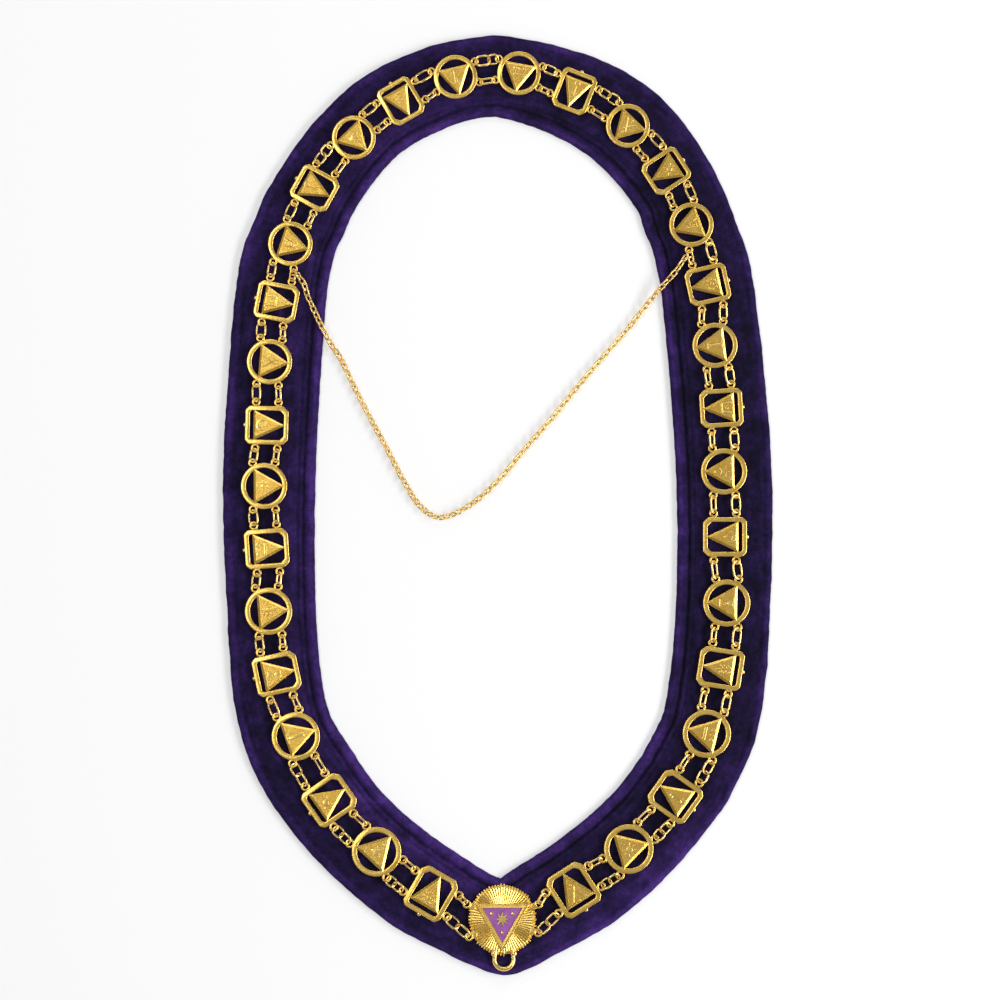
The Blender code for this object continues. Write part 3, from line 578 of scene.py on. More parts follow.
bandShape = {
    "edgeHeight": 1.4 * mm,        # where the CAD solid is widest
    "lipHeight": 2.8 * mm,
    "sectionStep": 1.5 * mm,
    "padTop": 3.45 * mm,
    "rollWidth": 2.8 * mm,         # from the inner edge to the top of its roll
    "seamInset": 6.4 * mm,
    "seamDepth": 1.0 * mm,
    "seamWidth": 0.85 * mm,
    "laneDepth": 0.3 * mm,
    "secondSeamInset": 9.7 * mm,
    "secondSeamDepth": 0.4 * mm,
    "rimFoldInset": 4.7 * mm,
    "rimFoldDepth": 0.55 * mm,
    "fieldPoints": 15,
    "seed": 11,
}
innerInsets = (0.0, 0.2, 0.5, 1.0, 1.7, 2.7, 3.8, 4.8, 5.5, 5.95, 6.4, 6.85, 7.3, 8.0, 8.8, 9.3, 9.7, 10.1, 10.8)
outerInsets = (9.0, 7.6, 6.5, 5.6, 4.7, 3.9, 3.1, 2.3, 1.6, 1.0, 0.5, 0.2, 0.0)
underInsets = ((0.25, 0.8), (0.9, 0.25), (2.2, 0.0), (12.0, 0.0))  # inset and height, from either edge

# Creases across the band: side, height up the collar, half width, depth, and how far in from the outer edge
creases = [
    (1, -44.7, 1.6, 0.9, 16.0),
    (1, -70.0, 2.2, 0.35, 9.0),
    (1, 22.0, 2.5, 0.3, 8.0),
    (-1, -118.0, 2.4, 0.35, 12.0),
    (-1, 60.0, 2.6, 0.3, 8.0),
]


def bandLoops():  # the CAD solid's outer and inner edges, both from the point round by the left side
    points = nodePoints("velvet_band")
    edge = points[np.abs(points[:, 2] - bandShape["edgeHeight"]) < tiny][:, :2]
    lip = points[np.abs(points[:, 2] - bandShape["lipHeight"]) < tiny][:, :2]
    gaps = np.array([np.hypot(*(lip - place).T).min() for place in edge])
    loops = []
    for loop in (edge[gaps > 1.5 * mm], edge[gaps <= 1.5 * mm]):
        angle = np.arctan2(loop[:, 1], loop[:, 0])
        loop = loop[np.argsort(-angle)]
        loop = np.roll(loop, -int(np.argmin(loop[:, 1])), axis=0)
        loops.append([Vector(place) for place in loop])
    return loops


def bandSections():
    outer, inner = bandLoops()
    count = len(outer)
    sections = []
    for index in range(count):
        outerFour = [outer[(index + step) % count] for step in (-1, 0, 1, 2)]
        innerFour = [inner[(index + step) % count] for step in (-1, 0, 1, 2)]
        if index == 0:  # the inner edge has a sharp notch at the point
            innerFour[0] = 2.0 * innerFour[1] - innerFour[2]
        if index == count - 1:
            innerFour[3] = 2.0 * innerFour[2] - innerFour[1]
        steps = math.ceil((outerFour[2] - outerFour[1]).length / bandShape["sectionStep"])
        for step in range(steps):
            share = step / steps
            sections.append((smoothPoint(*outerFour, share), smoothPoint(*innerFour, share)))
    return sections


def loopNoise(turn, waves, row):  # noise that meets itself once round the band
    radius = waves / (2.0 * math.pi)
    return noise.noise(Vector((radius * math.cos(turn), radius * math.sin(turn), 7.3 * row)))


def padHeight(fromInner, fromOuter, place, turn):
    shape = bandShape
    flat = shape["padTop"] - shape["edgeHeight"]
    innerRoll = math.sqrt(max(0.0, 1.0 - (1.0 - min(fromInner / shape["rollWidth"], 1.0)) ** 2))
    outerRoll = math.sqrt(max(0.0, 1.0 - (1.0 - min(fromOuter / shape["rollWidth"], 1.0)) ** 2))
    height = shape["edgeHeight"] + flat * innerRoll * outerRoll
    pucker = loopNoise(turn, 260, 1) + 0.6 * loopNoise(turn, 520, 2)
    height -= shape["seamDepth"] * (1.0 + 0.35 * pucker) * bump(fromInner, shape["seamInset"], shape["seamWidth"])
    height -= shape["secondSeamDepth"] * bump(fromInner, shape["secondSeamInset"], 0.6 * mm)
    height -= shape["rimFoldDepth"] * (1.0 + loopNoise(turn, 90, 3)) * bump(fromOuter, shape["rimFoldInset"], 1.0 * mm)
    inside = blendIn(min(fromInner, fromOuter), 0.5 * mm, 3.0 * mm)
    height -= shape["laneDepth"] * bump(fromInner / (fromInner + fromOuter), 0.56, 0.24)
    near = Vector((place.x, place.y, 0.0)) / mm
    soft = 0.30 * noise.noise(near / 26.0) + 0.16 * noise.noise(near / 9.0) + 0.07 * noise.noise(near / 3.6)
    height += mm * soft * inside
    height += 0.22 * mm * pucker * bump(fromInner, shape["seamInset"], 3.0 * mm) * inside
    height += 0.30 * mm * loopNoise(turn, 150, 4) * bump(fromOuter, 3.0 * mm, 3.5 * mm) * inside
    for side, level, halfWidth, depth, reach in creases:
        if place.x * side > 0.0 and fromOuter < reach * mm:
            fade = 1.0 - blendIn(fromOuter, 0.6 * reach * mm, reach * mm)
            height -= depth * mm * fade * bump(place.y, level * mm, halfWidth * mm) * inside * 0.6
            height += depth * mm * fade * bump(place.y, (level + 1.6 * halfWidth) * mm, halfWidth * mm) * inside * 0.4
    return height


def velvetShadeSheenAndMottle(fromInner, fromOuter, place):  # how light the velvet is painted: painted shadow in the lane where the plates lie, painted shade in the seams, painted sheen along the rolled edges, lighter on the left arm and towards the nape, and random mottling
    leftness = blendIn(-place.x, -60 * mm, 60 * mm)
    point = 1.0 - blendIn(place.y, -215 * mm, -110 * mm)
    nape = blendIn(place.y, 130 * mm, 225 * mm)
    field = 0.28 + 0.22 * leftness + 0.14 * nape
    lane = 0.01 + 0.10 * leftness + 0.07 * nape
    # rim: the painted sheen of the outer edge, lighter towards the point on the right arm
    rim = 0.30 + 0.10 * leftness + 0.34 * point * (1.0 - leftness) + 0.05 * nape
    width = fromInner + fromOuter
    share = fromInner / width
    # painted shadow: the lane where the plates lie is painted darker than the field
    inLane = bump(share, 0.56, 0.24)
    shadeSheenAndMottle = field + (lane - field) * inLane
    # the outer side of the band is painted a little below the rim's painted sheen
    outside = blendIn(share, 0.66, 0.80)
    shadeSheenAndMottle = shadeSheenAndMottle + (rim - 0.12 - shadeSheenAndMottle) * outside
    # lighter on the inner side of the left arm near the point
    shadeSheenAndMottle += 0.24 * point * leftness * (1.0 - blendIn(share, 0.25, 0.5))
    # painted sheen: a lighter band along the outer roll
    shadeSheenAndMottle += (rim - shadeSheenAndMottle + 0.16) * bump(fromOuter, 1.8 * mm, 2.4 * mm)
    # painted sheen: the inner roll, from the inner edge to the seam, is painted lighter, lightest along the top of the
    # roll, with a darker line at 4.4 mm
    strip = 1.0 - blendIn(fromInner, 5.2 * mm, 6.6 * mm)
    shadeSheenAndMottle += (0.48 + 0.12 * leftness + 0.10 * point - shadeSheenAndMottle) * strip
    shadeSheenAndMottle += 0.16 * bump(fromInner, 2.3 * mm, 1.3 * mm) - 0.08 * bump(fromInner, 4.4 * mm, 0.7 * mm)
    # painted shade in the grooves of the two seams
    shadeSheenAndMottle -= 0.26 * bump(fromInner, 6.6 * mm, 1.3 * mm) + 0.10 * bump(fromInner, 9.7 * mm, 0.9 * mm)
    near = Vector((place.x, place.y, 0.0)) / mm
    shadeSheenAndMottle += 0.16 * noise.noise(near / 34.0) + 0.12 * noise.noise(near / 12.0 + Vector((9.0, 0.0, 0.0)))
    return shadeSheenAndMottle


def velvetBand():
    sections = bandSections()
    count = len(sections)
    mesh = bmesh.new()
    shadeSheenAndMottleLayer = mesh.verts.layers.float.new("shadeSheenAndMottle")
    rings = []
    along = [0.0]
    for index in range(count):
        outer, inner = sections[index]
        following = sections[(index + 1) % count]
        middle = (outer + inner) / 2
        along.append(along[-1] + ((following[0] + following[1]) / 2 - middle).length)
    for index, (outer, inner) in enumerate(sections):
        turn = 2.0 * math.pi * along[index] / along[-1]
        out = (outer - inner).normalized()
        ripple = 0.42 * mm * loopNoise(turn, 120, 5) + 0.28 * mm * loopNoise(turn, 330, 6)
        outer = outer + out * ripple
        inner = inner - out * (0.26 * mm * loopNoise(turn, 200, 7) + 0.16 * mm * loopNoise(turn, 480, 8))
        width = (outer - inner).length
        insets = [inset * mm for inset in innerInsets]
        first, last = insets[-1], width - outerInsets[0] * mm
        steps = bandShape["fieldPoints"]
        insets += [first + (last - first) * step / steps for step in range(1, steps)]
        insets += [width - inset * mm for inset in outerInsets]
        ring = []
        for inset in insets:
            place = inner + out * inset
            height = padHeight(inset, width - inset, place, turn)
            corner = mesh.verts.new((place.x, place.y, height))
            corner[shadeSheenAndMottleLayer] = velvetShadeSheenAndMottle(inset, width - inset, place)
            ring.append((corner, inset))
        for inset, height in underInsets:
            place = outer - out * inset * mm
            corner = mesh.verts.new((place.x, place.y, height * mm))
            corner[shadeSheenAndMottleLayer] = 0.25
            ring.append((corner, width + inset * mm))
        for inset, height in reversed(underInsets):
            place = inner + out * inset * mm
            corner = mesh.verts.new((place.x, place.y, height * mm))
            corner[shadeSheenAndMottleLayer] = 0.25
            ring.append((corner, 2.0 * width - inset * mm))
        rings.append(ring)
    napMap = mesh.loops.layers.uv.new("nap")
    sides = len(rings[0])
    for index in range(count):
        ring = rings[index]
        following = rings[(index + 1) % count]
        for side in range(sides):
            other = (side + 1) % sides
            corners = (ring[side], ring[other], following[other], following[side])
            face = mesh.faces.new([corner for corner, across in corners])
            travelled = (along[index], along[index], along[index + 1], along[index + 1])
            for loop, (corner, across), length in zip(face.loops, corners, travelled):
                loop[napMap].uv = (length, across)
    bmesh.ops.recalc_face_normals(mesh, faces=mesh.faces)
    data = bpy.data.meshes.new("velvetBand")
    mesh.to_mesh(data)
    mesh.free()
    data.shade_smooth()
    band = addPiece("velvetBand", data, velvet)
    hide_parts("velvet_band")
    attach(band, "root")
    return sections


sections = velvetBand()
print("velvet band ready")


# Stitches in the groove of the inner seam

stitchShape = {"pitch": 3.1 * mm, "length": 2.2 * mm, "threadRadius": 0.15 * mm, "rise": 0.3 * mm, "height": 2.42 * mm}


def seamStitches():
    route = []
    for outer, inner in sections:
        place = inner + (outer - inner).normalized() * bandShape["seamInset"]
        route.append((place.x, place.y, stitchShape["height"]))
    curve = bpy.data.curves.new("seamRoute", "CURVE")
    curve.dimensions = "3D"
    spline = curve.splines.new("POLY")
    spline.points.add(len(route) - 1)
    for point, place in zip(spline.points, route):
        point.co = (*place, 1.0)
    holder = bpy.data.objects.new("seamRoute", curve)
    bpy.context.scene.collection.objects.link(holder)
    mesh = runTree(holder, stitchTree(), {
        "Pitch": stitchShape["pitch"],
        "Length": stitchShape["length"],
        "Thread Radius": stitchShape["threadRadius"],
        "Rise": stitchShape["rise"],
        "Material": thread,
    })
    stitches = addPiece("seamStitches", mesh, thread)
    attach(stitches, "root")


seamStitches()
print("stitches ready")


# Cast plates: each stands on its CAD node, which gives its place, turn and size

plateShape = {
    "reliefTop": 6.1 * mm,          # the CAD triangle's top
    "low": 3.95 * mm,
    "high": 5.65 * mm,
    "rounding": 0.5 * mm,
    "ringRadius": 12.8 * mm,
    "ringWidth": 2.85 * mm,
    "halfAlong": 10.8 * mm,
    "halfAcross": 12.05 * mm,
    "outerCut": 2.3 * mm,
    "innerCut": 2.9 * mm,
    "bar": 2.7 * mm,
    "roundSide": 16.96 * mm,        # side of the CAD triangle at full size
    "squareHeight": 15.23 * mm,
    "squareBase": -6.95 * mm,
    "lugAcross": 6.2 * mm,
    "lugAlong": 12.9 * mm,
    "eyeRadius": 2.45 * mm,
    "eyeHole": 1.25 * mm,
    "eyeLow": 4.1 * mm,
    "eyeHigh": 5.6 * mm,
    "plaqueEdge": 5.75 * mm,
    "plaqueTop": 6.45 * mm,
    "plaqueBevel": 1.25 * mm,
}


def plateSeat(name):  # place, turn and size of a plate, from its CAD triangle's three corners
    points = nodePoints(name)
    level = points[np.abs(points[:, 2] - plateShape["reliefTop"]) < tiny][:, :2]
    first = level[np.argmax(np.hypot(*(level - level.mean(axis=0)).T))]
    second = level[np.argmax(np.hypot(*(level - first).T))]
    run = second - first
    offLine = np.abs((level - first) @ np.array((-run[1], run[0])))
    third = level[np.argmax(offLine)]
    corners = [Vector(first), Vector(second), Vector(third)]
    middle = sum(corners, Vector((0.0, 0.0))) / 3
    neck = Vector((0.0, min(max(middle.y, -0.1), 0.12)))
    inward = (neck - middle).normalized()
    tip = max(corners, key=lambda corner: (corner - middle).normalized().dot(inward))
    base = [corner for corner in corners if corner is not tip]
    baseMiddle = (base[0] + base[1]) / 2
    facing = (tip - baseMiddle).normalized()
    if name.startswith("round"):
        size = (base[0] - base[1]).length / plateShape["roundSide"]
        centre = middle
    else:
        size = (tip - baseMiddle).length / plateShape["squareHeight"]
        centre = baseMiddle - facing * plateShape["squareBase"] * size
    return {"name": name, "centre": centre, "facing": facing, "size": size}


def seatMatrix(seat):  # full height, with the plan grown or shrunk
    turn = Matrix.Rotation(math.atan2(seat["facing"].y, seat["facing"].x), 4, "Z")
    grow = Matrix.Diagonal((seat["size"], seat["size"], 1.0, 1.0))
    return Matrix.Translation((seat["centre"].x, seat["centre"].y, 0.0)) @ turn @ grow


def plateNames():  # from the left of the jewel over the nape to its right
    names = []
    for side, numbers in (("left", range(1, 17)), ("right", range(16, 0, -1))):
        for number in numbers:
            shape = "square" if number % 2 else "round"
            names.append(f"{shape}_plate_{side}_{number:02d}")
    return names


def circle(radius, sides, centre=(0.0, 0.0)):
    points = [polar(radius, 360 * step / sides) for step in range(sides)]
    return [(centre[0] + point.x, centre[1] + point.y) for point in points]


def softened(corners, radius, steps=4):  # a polygon with its corners rounded off
    outline = []
    count = len(corners)
    for index in range(count):
        corner = Vector(corners[index])
        before = Vector(corners[index - 1])
        after = Vector(corners[(index + 1) % count])
        reach = min(radius, 0.45 * (before - corner).length, 0.45 * (after - corner).length)
        start = corner + (before - corner).normalized() * reach
        end = corner + (after - corner).normalized() * reach
        for step in range(steps + 1):
            share = step / steps
            near = start.lerp(corner, share)
            far = corner.lerp(end, share)
            outline.append(tuple(near.lerp(far, share)))
    return outline


def roundBody():
    shape = plateShape
    outlines = [circle(shape["ringRadius"], 72), circle(shape["ringRadius"] - shape["ringWidth"], 60)]
    return flatShell(outlines, shape["low"], shape["high"], shape["rounding"])


def squareBody():
    shape = plateShape
    along, across = shape["halfAlong"], shape["halfAcross"]
    outerCut, innerCut, bar = shape["outerCut"], shape["innerCut"], shape["bar"]
    outline = [
        (-across, along - outerCut), (-across, -along + outerCut), (-across + outerCut, -along),
        (across - innerCut, -along), (across, -along + innerCut), (across, along - innerCut),
        (across - innerCut, along), (-across + outerCut, along),
    ]
    window = [
        (-across + bar, along - bar - 0.4 * outerCut), (-across + bar, -along + bar + 0.4 * outerCut),
        (-across + bar + 0.4 * outerCut, -along + bar), (across - bar - 0.75 * innerCut, -along + bar),
        (across - bar, -along + bar + 0.75 * innerCut), (across - bar, along - bar - 0.75 * innerCut),
        (across - bar - 0.75 * innerCut, along - bar), (-across + bar + 0.4 * outerCut, along - bar),
    ]
    outlines = [softened(outline, 0.8 * mm), softened(window, 0.6 * mm)]
    return flatShell(outlines, shape["low"], shape["high"], shape["rounding"])


def triangleCorners(kind, inset):  # the plaque's corners, drawn in by an inset
    shape = plateShape
    if kind == "round":
        reach = shape["ringRadius"] - shape["ringWidth"] + 1.3 * mm - 2.0 * inset
        return [tuple(polar(reach, degrees)) for degrees in (0, 120, 240)]
    tip = shape["halfAcross"] - shape["bar"] + 1.0 * mm
    base = shape["squareBase"] - 0.35 * mm
    halfBase = shape["halfAlong"] - shape["bar"] + 0.3 * mm
    slope = math.atan2(halfBase, tip - base)
    tipIn = tip - inset / math.sin(slope)
    baseIn = base + inset
    halfIn = (tipIn - baseIn) * math.tan(slope)
    return [(tipIn, 0.0), (baseIn, halfIn), (baseIn, -halfIn)]


def plaque(kind):  # the raised triangle, with a broad slope along each side
    shape = plateShape
    edge, top = triangleCorners(kind, 0.0), triangleCorners(kind, shape["plaqueBevel"])
    heights = (4.0 * mm, shape["plaqueEdge"], shape["plaqueTop"])
    return facetedShell([edge, edge, top], heights)


def bar(startX, startY, endX, endY, width):
    start, end = Vector((startX, startY)), Vector((endX, endY))
    side = (end - start).normalized().orthogonal() * width / 2
    corners = [start + side, start - side, end - side, end + side]
    return softened([tuple(corner * mm) for corner in corners], 0.3 * width * mm, 2)


def star(x, y, reach, waist, tips, turn=0.0):
    points = []
    for step in range(2 * tips):
        place = polar(reach if step % 2 == 0 else waist, turn + 180 * step / tips)
        points.append(((x + place.x) * mm, (y + place.y) * mm))
    return points


def disc(x, y, radius, sides=14):
    return circle(radius * mm, sides, (x * mm, y * mm))


def leaf(x, y, length, width, degrees):
    points = []
    for step in range(10):
        angle = math.radians(36 * step)
        place = Vector((0.5 * length * math.cos(angle), 0.5 * width * math.sin(angle) * (1.0 - 0.35 * math.cos(angle))))
        place.rotate(Matrix.Rotation(math.radians(degrees), 2))
        points.append(((x + place.x) * mm, (y + place.y) * mm))
    return points


def crescent(x, y, reach):
    outside = [polar(reach, degrees) for degrees in range(50, 311, 20)]
    inside = [polar(0.72 * reach, degrees) + Vector((0.42 * reach, 0.0)) for degrees in range(280, 79, -25)]
    return [((x + place.x) * mm, (y + place.y) * mm) for place in outside + inside]


# Small raised figures of common kinds, in millimetres. +X is towards the triangle's tip
motifs = {
    "star": [[star(0.0, 0.0, 2.9, 1.2, 5, 180)], [disc(-3.2, 3.6, 0.55)], [disc(-3.2, -3.6, 0.55)], [disc(4.2, 0.0, 0.5)]],
    "sprig": [[bar(-3.4, -0.6, 3.8, 0.5, 0.55)]] + [
        [leaf(x, side * 1.25, 2.1, 0.95, side * 48)] for x in (-2.2, -0.4, 1.4) for side in (-1, 1)],
    "column": [[bar(-3.3, 0.0, 3.4, 0.0, 1.3)], [bar(-3.6, -2.3, -3.6, 2.3, 0.9)], [bar(3.3, -1.3, 3.3, 1.3, 0.8)]],
    "ladder": [[bar(-3.3, -1.9, 3.2, -0.8, 0.6)], [bar(-3.3, 1.9, 3.2, 0.8, 0.6)]] + [
        [bar(x, -1.5 + 0.17 * (x + 3), x, 1.5 - 0.17 * (x + 3), 0.5)] for x in (-2.4, -0.9, 0.6, 2.1)],
    "hourglass": [[[(-2.6 * mm, 1.9 * mm), (-2.6 * mm, -1.9 * mm), (0.1 * mm, 0.0)]],
                  [[(2.8 * mm, -1.7 * mm), (2.8 * mm, 1.7 * mm), (0.1 * mm, 0.0)]],
                  [bar(-3.2, -2.5, -3.2, 2.5, 0.6)], [bar(3.2, -1.7, 3.2, 1.7, 0.5)]],
    "crescent": [[crescent(-0.8, 0.0, 2.7)], [star(1.5, 0.0, 1.1, 0.5, 5)], [disc(-3.4, 4.0, 0.5)], [disc(-3.4, -4.0, 0.5)]],
    "sun": [[disc(-0.3, 0.0, 1.4)]] + [
        [bar(-0.3 + 1.8 * math.cos(turn), 1.8 * math.sin(turn), -0.3 + 3.0 * math.cos(turn), 3.0 * math.sin(turn), 0.45)]
        for turn in [math.pi * step / 4 for step in range(8)]],
    "key": [[disc(-2.6, 0.0, 1.5), disc(-2.6, 0.0, 0.7)], [bar(-1.3, 0.0, 4.0, 0.0, 0.7)],
            [bar(2.5, 0.0, 2.5, 1.5, 0.6)], [bar(3.7, 0.0, 3.7, 1.2, 0.6)]],
    "dots": [[disc(2.3 * math.cos(turn) - 0.4, 2.3 * math.sin(turn), 0.62)]
             for turn in [math.pi * step / 4 for step in range(8)]] + [[disc(-0.4, 0.0, 0.9)]],
    "quills": [[bar(-3.0, -2.8, 3.0, 1.2, 0.65)], [bar(-3.0, 2.8, 3.0, -1.2, 0.65)], [disc(3.9, 0.0, 0.55)], [disc(-3.4, 0.0, 0.6)]],
    "arch": [[bar(-3.2, -2.3, 0.9, -1.9, 0.8)], [bar(-3.2, 2.3, 0.9, 1.9, 0.8)], [bar(1.3, -2.3, 1.3, 2.3, 0.9)],
             [disc(-0.9, 0.0, 0.8)], [bar(-3.8, -3.4, -3.8, 3.4, 0.6)]],
    "lintel": [[bar(0.9, -2.9, 0.9, 2.9, 1.3)], [disc(-2.4, -2.2, 0.9)], [disc(-2.4, 2.2, 0.9)], [star(-2.4, 0.0, 1.3, 0.6, 4)]],
}
motifOrder = [
    "dots", "star", "sun", "column", "hourglass", "sprig", "lintel", "dots",
    "crescent", "quills", "arch", "ladder", "key", "star", "sprig", "column",
    "lintel", "key", "quills", "sun", "ladder", "dots", "column", "arch",
    "star", "crescent", "hourglass", "sprig", "lintel", "key", "sun", "quills",
]


def motifShells():
    shells = {}
    for name, figures in motifs.items():
        shells[name] = [flatShell(outlines, 5.9 * mm, 7.05 * mm, 0.26 * mm) for outlines in figures]
    return shells


def eyeShell():  # one lug: a flat cast eye
    shape = plateShape
    outlines = [circle(shape["eyeRadius"], 28), circle(shape["eyeHole"], 20)]
    return flatShell(outlines, shape["eyeLow"], shape["eyeHigh"], 0.42 * mm)


def castPlates():
    shape = plateShape
    seats = [plateSeat(name) for name in plateNames()]
    bodies = {"round": roundBody(), "square": squareBody()}
    plaques = {"round": plaque("round"), "square": plaque("square")}
    figures = motifShells()
    eye = eyeShell()
    knob = domeShell(1.25 * mm, 0.8 * mm, 12, 4)
    bigger = Matrix.Diagonal((1.22, 1.22, 1.0, 1.0))
    for seat, motif in zip(seats, motifOrder):
        kind = seat["name"].split("_")[0]
        place = seatMatrix(seat)
        # the last number is each shell's wear and painted shade: lower is painted darker
        shells = [(bodies[kind], place, 0.74), (plaques[kind], place, 0.62)]
        shift = Matrix.Translation((-1.9 * mm if kind == "square" else 0.0, 0.0, 0.0))
        for figure in figures[motif]:
            shells.append((figure, place @ shift @ bigger, 0.9))
        for across in (-1, 1):
            for along in (-1, 1):
                spot = Vector((across * shape["lugAcross"], along * shape["lugAlong"], 0.0))
                shells.append((eye, place @ Matrix.Translation(spot), 0.78))
        if kind == "square":
            spot = Vector((-shape["halfAcross"] + 0.1 * mm, 0.0, (shape["low"] + shape["high"]) / 2))
            shells.append((knob, place @ Matrix.Translation(spot), 0.85))
        plate = addPiece("gilt_" + seat["name"], joinShells(shells), gilt)
        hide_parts(seat["name"])
        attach(plate, "root")
    return seats


seats = castPlates()
print("cast plates ready")


# Jewel at the point

jewelShape = {
    "discLow": 4.0 * mm,
    "discHigh": 5.0 * mm,
    "radius": 18.3 * mm,
    "rays": 70,
    "rayStart": 3.0 * mm,
    "rayEnd": 19.4 * mm,
    "rayHigh": 5.75 * mm,
    "rimHigh": 5.25 * mm,
    "unevenness": 0.055,
    "oval": (0.985, 1.04),
    "frameTop": 6.95 * mm,
    "enamelTop": 6.5 * mm,
    "ornamentTop": 7.05 * mm,
    "loopHalfWidth": 5.25 * mm,
    "loopAside": 0.8 * mm,
    "loopWire": 1.35 * mm,
}
jewelLugs = {  # from the jewel's centre, in millimetres
    "left": {"inner": (-19.6, 8.6), "outer": (-18.4, -9.4)},
    "right": {"inner": (19.9, 8.5), "outer": (19.6, -7.2)},
}
enamelLow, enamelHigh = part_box("jewel_enamel")
jewelCentre = Vector(((enamelLow.x + enamelHigh.x) / 2, enamelHigh.y - 6.1 * mm))


def rayMesh():  # one ray along +X: a ridge that widens outwards and ends in a blunt tip
    shape = jewelShape
    halfAngle = math.pi / shape["rays"]
    ray = bmesh.new()
    rows = []
    steps = 9
    for step in range(steps + 1):
        share = step / steps
        radius = shape["rayStart"] + (shape["rayEnd"] - shape["rayStart"]) * share
        crest = shape["rayHigh"] + (shape["rimHigh"] - shape["rayHigh"]) * share ** 1.6
        half = radius * math.tan(halfAngle)
        if share == 1.0:
            half *= 0.55
            crest -= 0.35 * mm
        drop = 0.56 * radius * math.tan(halfAngle)
        row = []
        for place, fall in ((-1.0, 1.15), (-0.82, 0.75), (-0.12, 0.0), (0.12, 0.0), (0.82, 0.75), (1.0, 1.15)):
            row.append(ray.verts.new((radius, half * place, crest - drop * fall)))
        row.append(ray.verts.new((radius, half, shape["discLow"])))
        row.append(ray.verts.new((radius, -half, shape["discLow"])))
        rows.append(row)
    for lower, upper in zip(rows, rows[1:]):
        for side in range(8):
            other = (side + 1) % 8
            ray.faces.new((lower[side], lower[other], upper[other], upper[side]))
    ray.faces.new(rows[0])
    ray.faces.new(rows[-1])
    bmesh.ops.recalc_face_normals(ray, faces=ray.faces)
    mesh = bpy.data.meshes.new("ray")
    ray.to_mesh(mesh)
    ray.free()
    return mesh


def sunRays():
    ray = bpy.data.objects.new("ray", rayMesh())
    holder = bpy.data.objects.new("rays", bpy.data.meshes.new("rays"))
    for obj in (ray, holder):
        bpy.context.scene.collection.objects.link(obj)
    mesh = runTree(holder, raysTree(), {
        "Ray": ray,
        "Rays": jewelShape["rays"],
        "Unevenness": jewelShape["unevenness"],
        "Seed": 4,
        "Material": gilt,
    })
    bpy.data.objects.remove(ray, do_unlink=True)
    return mesh


def triangleDown(halfWidth, top, bottom):
    return [(-halfWidth * mm, top * mm), (0.0, bottom * mm), (halfWidth * mm, top * mm)]


def sunburstJewel():
    shape = jewelShape
    place = Matrix.Translation((jewelCentre.x, jewelCentre.y, 0.0))
    tall = Matrix.Diagonal((*shape["oval"], 1.0, 1.0))
    shells = [(sunRays(), place @ tall, 0.74)]
    backing = flatShell([circle(shape["radius"], 90)], shape["discLow"] - 0.2 * mm, shape["discHigh"] - 0.2 * mm, 0.3 * mm, 1)
    # painted shade: the backing between the rays is painted darkest
    shells.append((backing, place @ tall, 0.3))
    edge, foot = triangleDown(14.7, 8.8, -17.6), triangleDown(12.9, 7.75, -15.2)
    ridge, lip, hollow = triangleDown(11.5, 6.9, -13.4), triangleDown(10.95, 6.55, -12.7), triangleDown(10.8, 6.45, -12.5)
    heights = (4.6 * mm, 6.0 * mm, 6.15 * mm, shape["frameTop"], shape["frameTop"], 6.0 * mm)
    shells.append((facetedShell([edge, edge, foot, ridge, lip, hollow], heights, 0.06 * mm), place, 0.7))
    eye = eyeShell()
    tab = flatShell([circle(2.0 * mm, 20)], shape["discLow"], 5.4 * mm, 0.4 * mm)
    for lugs in jewelLugs.values():
        for lug in lugs.values():
            spot = Vector((lug[0] * mm, lug[1] * mm, 0.0))
            shells.append((eye, place @ Matrix.Translation(spot), 0.8))
            shells.append((tab, place @ Matrix.Translation(spot * 0.86), 0.75))
    turn = -21.9 * mm
    half, aside = shape["loopHalfWidth"], shape["loopAside"]
    route = [Vector((aside - 0.9 * half, -16.6 * mm, 4.9 * mm))]
    for degrees in range(180, 361, 12):
        spot = polar(half, degrees)
        route.append(Vector((aside + spot.x, turn + spot.y, 4.75 * mm)))
    route.append(Vector((aside + 0.9 * half, -16.6 * mm, 4.9 * mm)))
    shells.append((wireShell(route, shape["loopWire"], steps=4), place, 0.95))
    boss = domeShell(1.8 * mm, 1.5 * mm, 16, 5)
    for side in (-1, 1):
        spot = Vector((aside + side * 5.6 * mm, -18.6 * mm, 4.9 * mm))
        shells.append((boss, place @ Matrix.Translation(spot), 0.9))
    jewel = addPiece("gilt_sunburst_jewel", joinShells(shells), gilt)
    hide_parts("sunburst_jewel")
    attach(jewel, "root")
    return place


def jewelEnamel(place):
    plate = flatShell([softened(triangleDown(10.9, 6.5, -12.7), 0.4 * mm)], 5.8 * mm, jewelShape["enamelTop"], 0.15 * mm)
    plate.transform(place)
    shadeSmooth(plate)
    piece = addPiece("lilac_enamel", plate, enamel)
    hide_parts("jewel_enamel")
    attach(piece, "root")


def jewelOrnament(place):  # a plain eight-pointed star with a bead on either side
    low, high = jewelShape["enamelTop"] - 0.25 * mm, jewelShape["ornamentTop"]
    figures = [[star(0.0, 0.4, 4.3, 1.7, 8, 90)], [disc(-5.9, 3.4, 0.95)], [disc(5.9, 3.4, 0.95)], [disc(0.0, -7.0, 0.8)]]
    shells = [(flatShell(outlines, low, high, 0.2 * mm, 1), place, 0.95) for outlines in figures]
    piece = addPiece("gilt_jewel_star", joinShells(shells), gilt)
    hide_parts("jewel_star")
    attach(piece, "root")


jewelPlace = sunburstJewel()
jewelEnamel(jewelPlace)
jewelOrnament(jewelPlace)
print("jewel ready")


# Links of the two strings

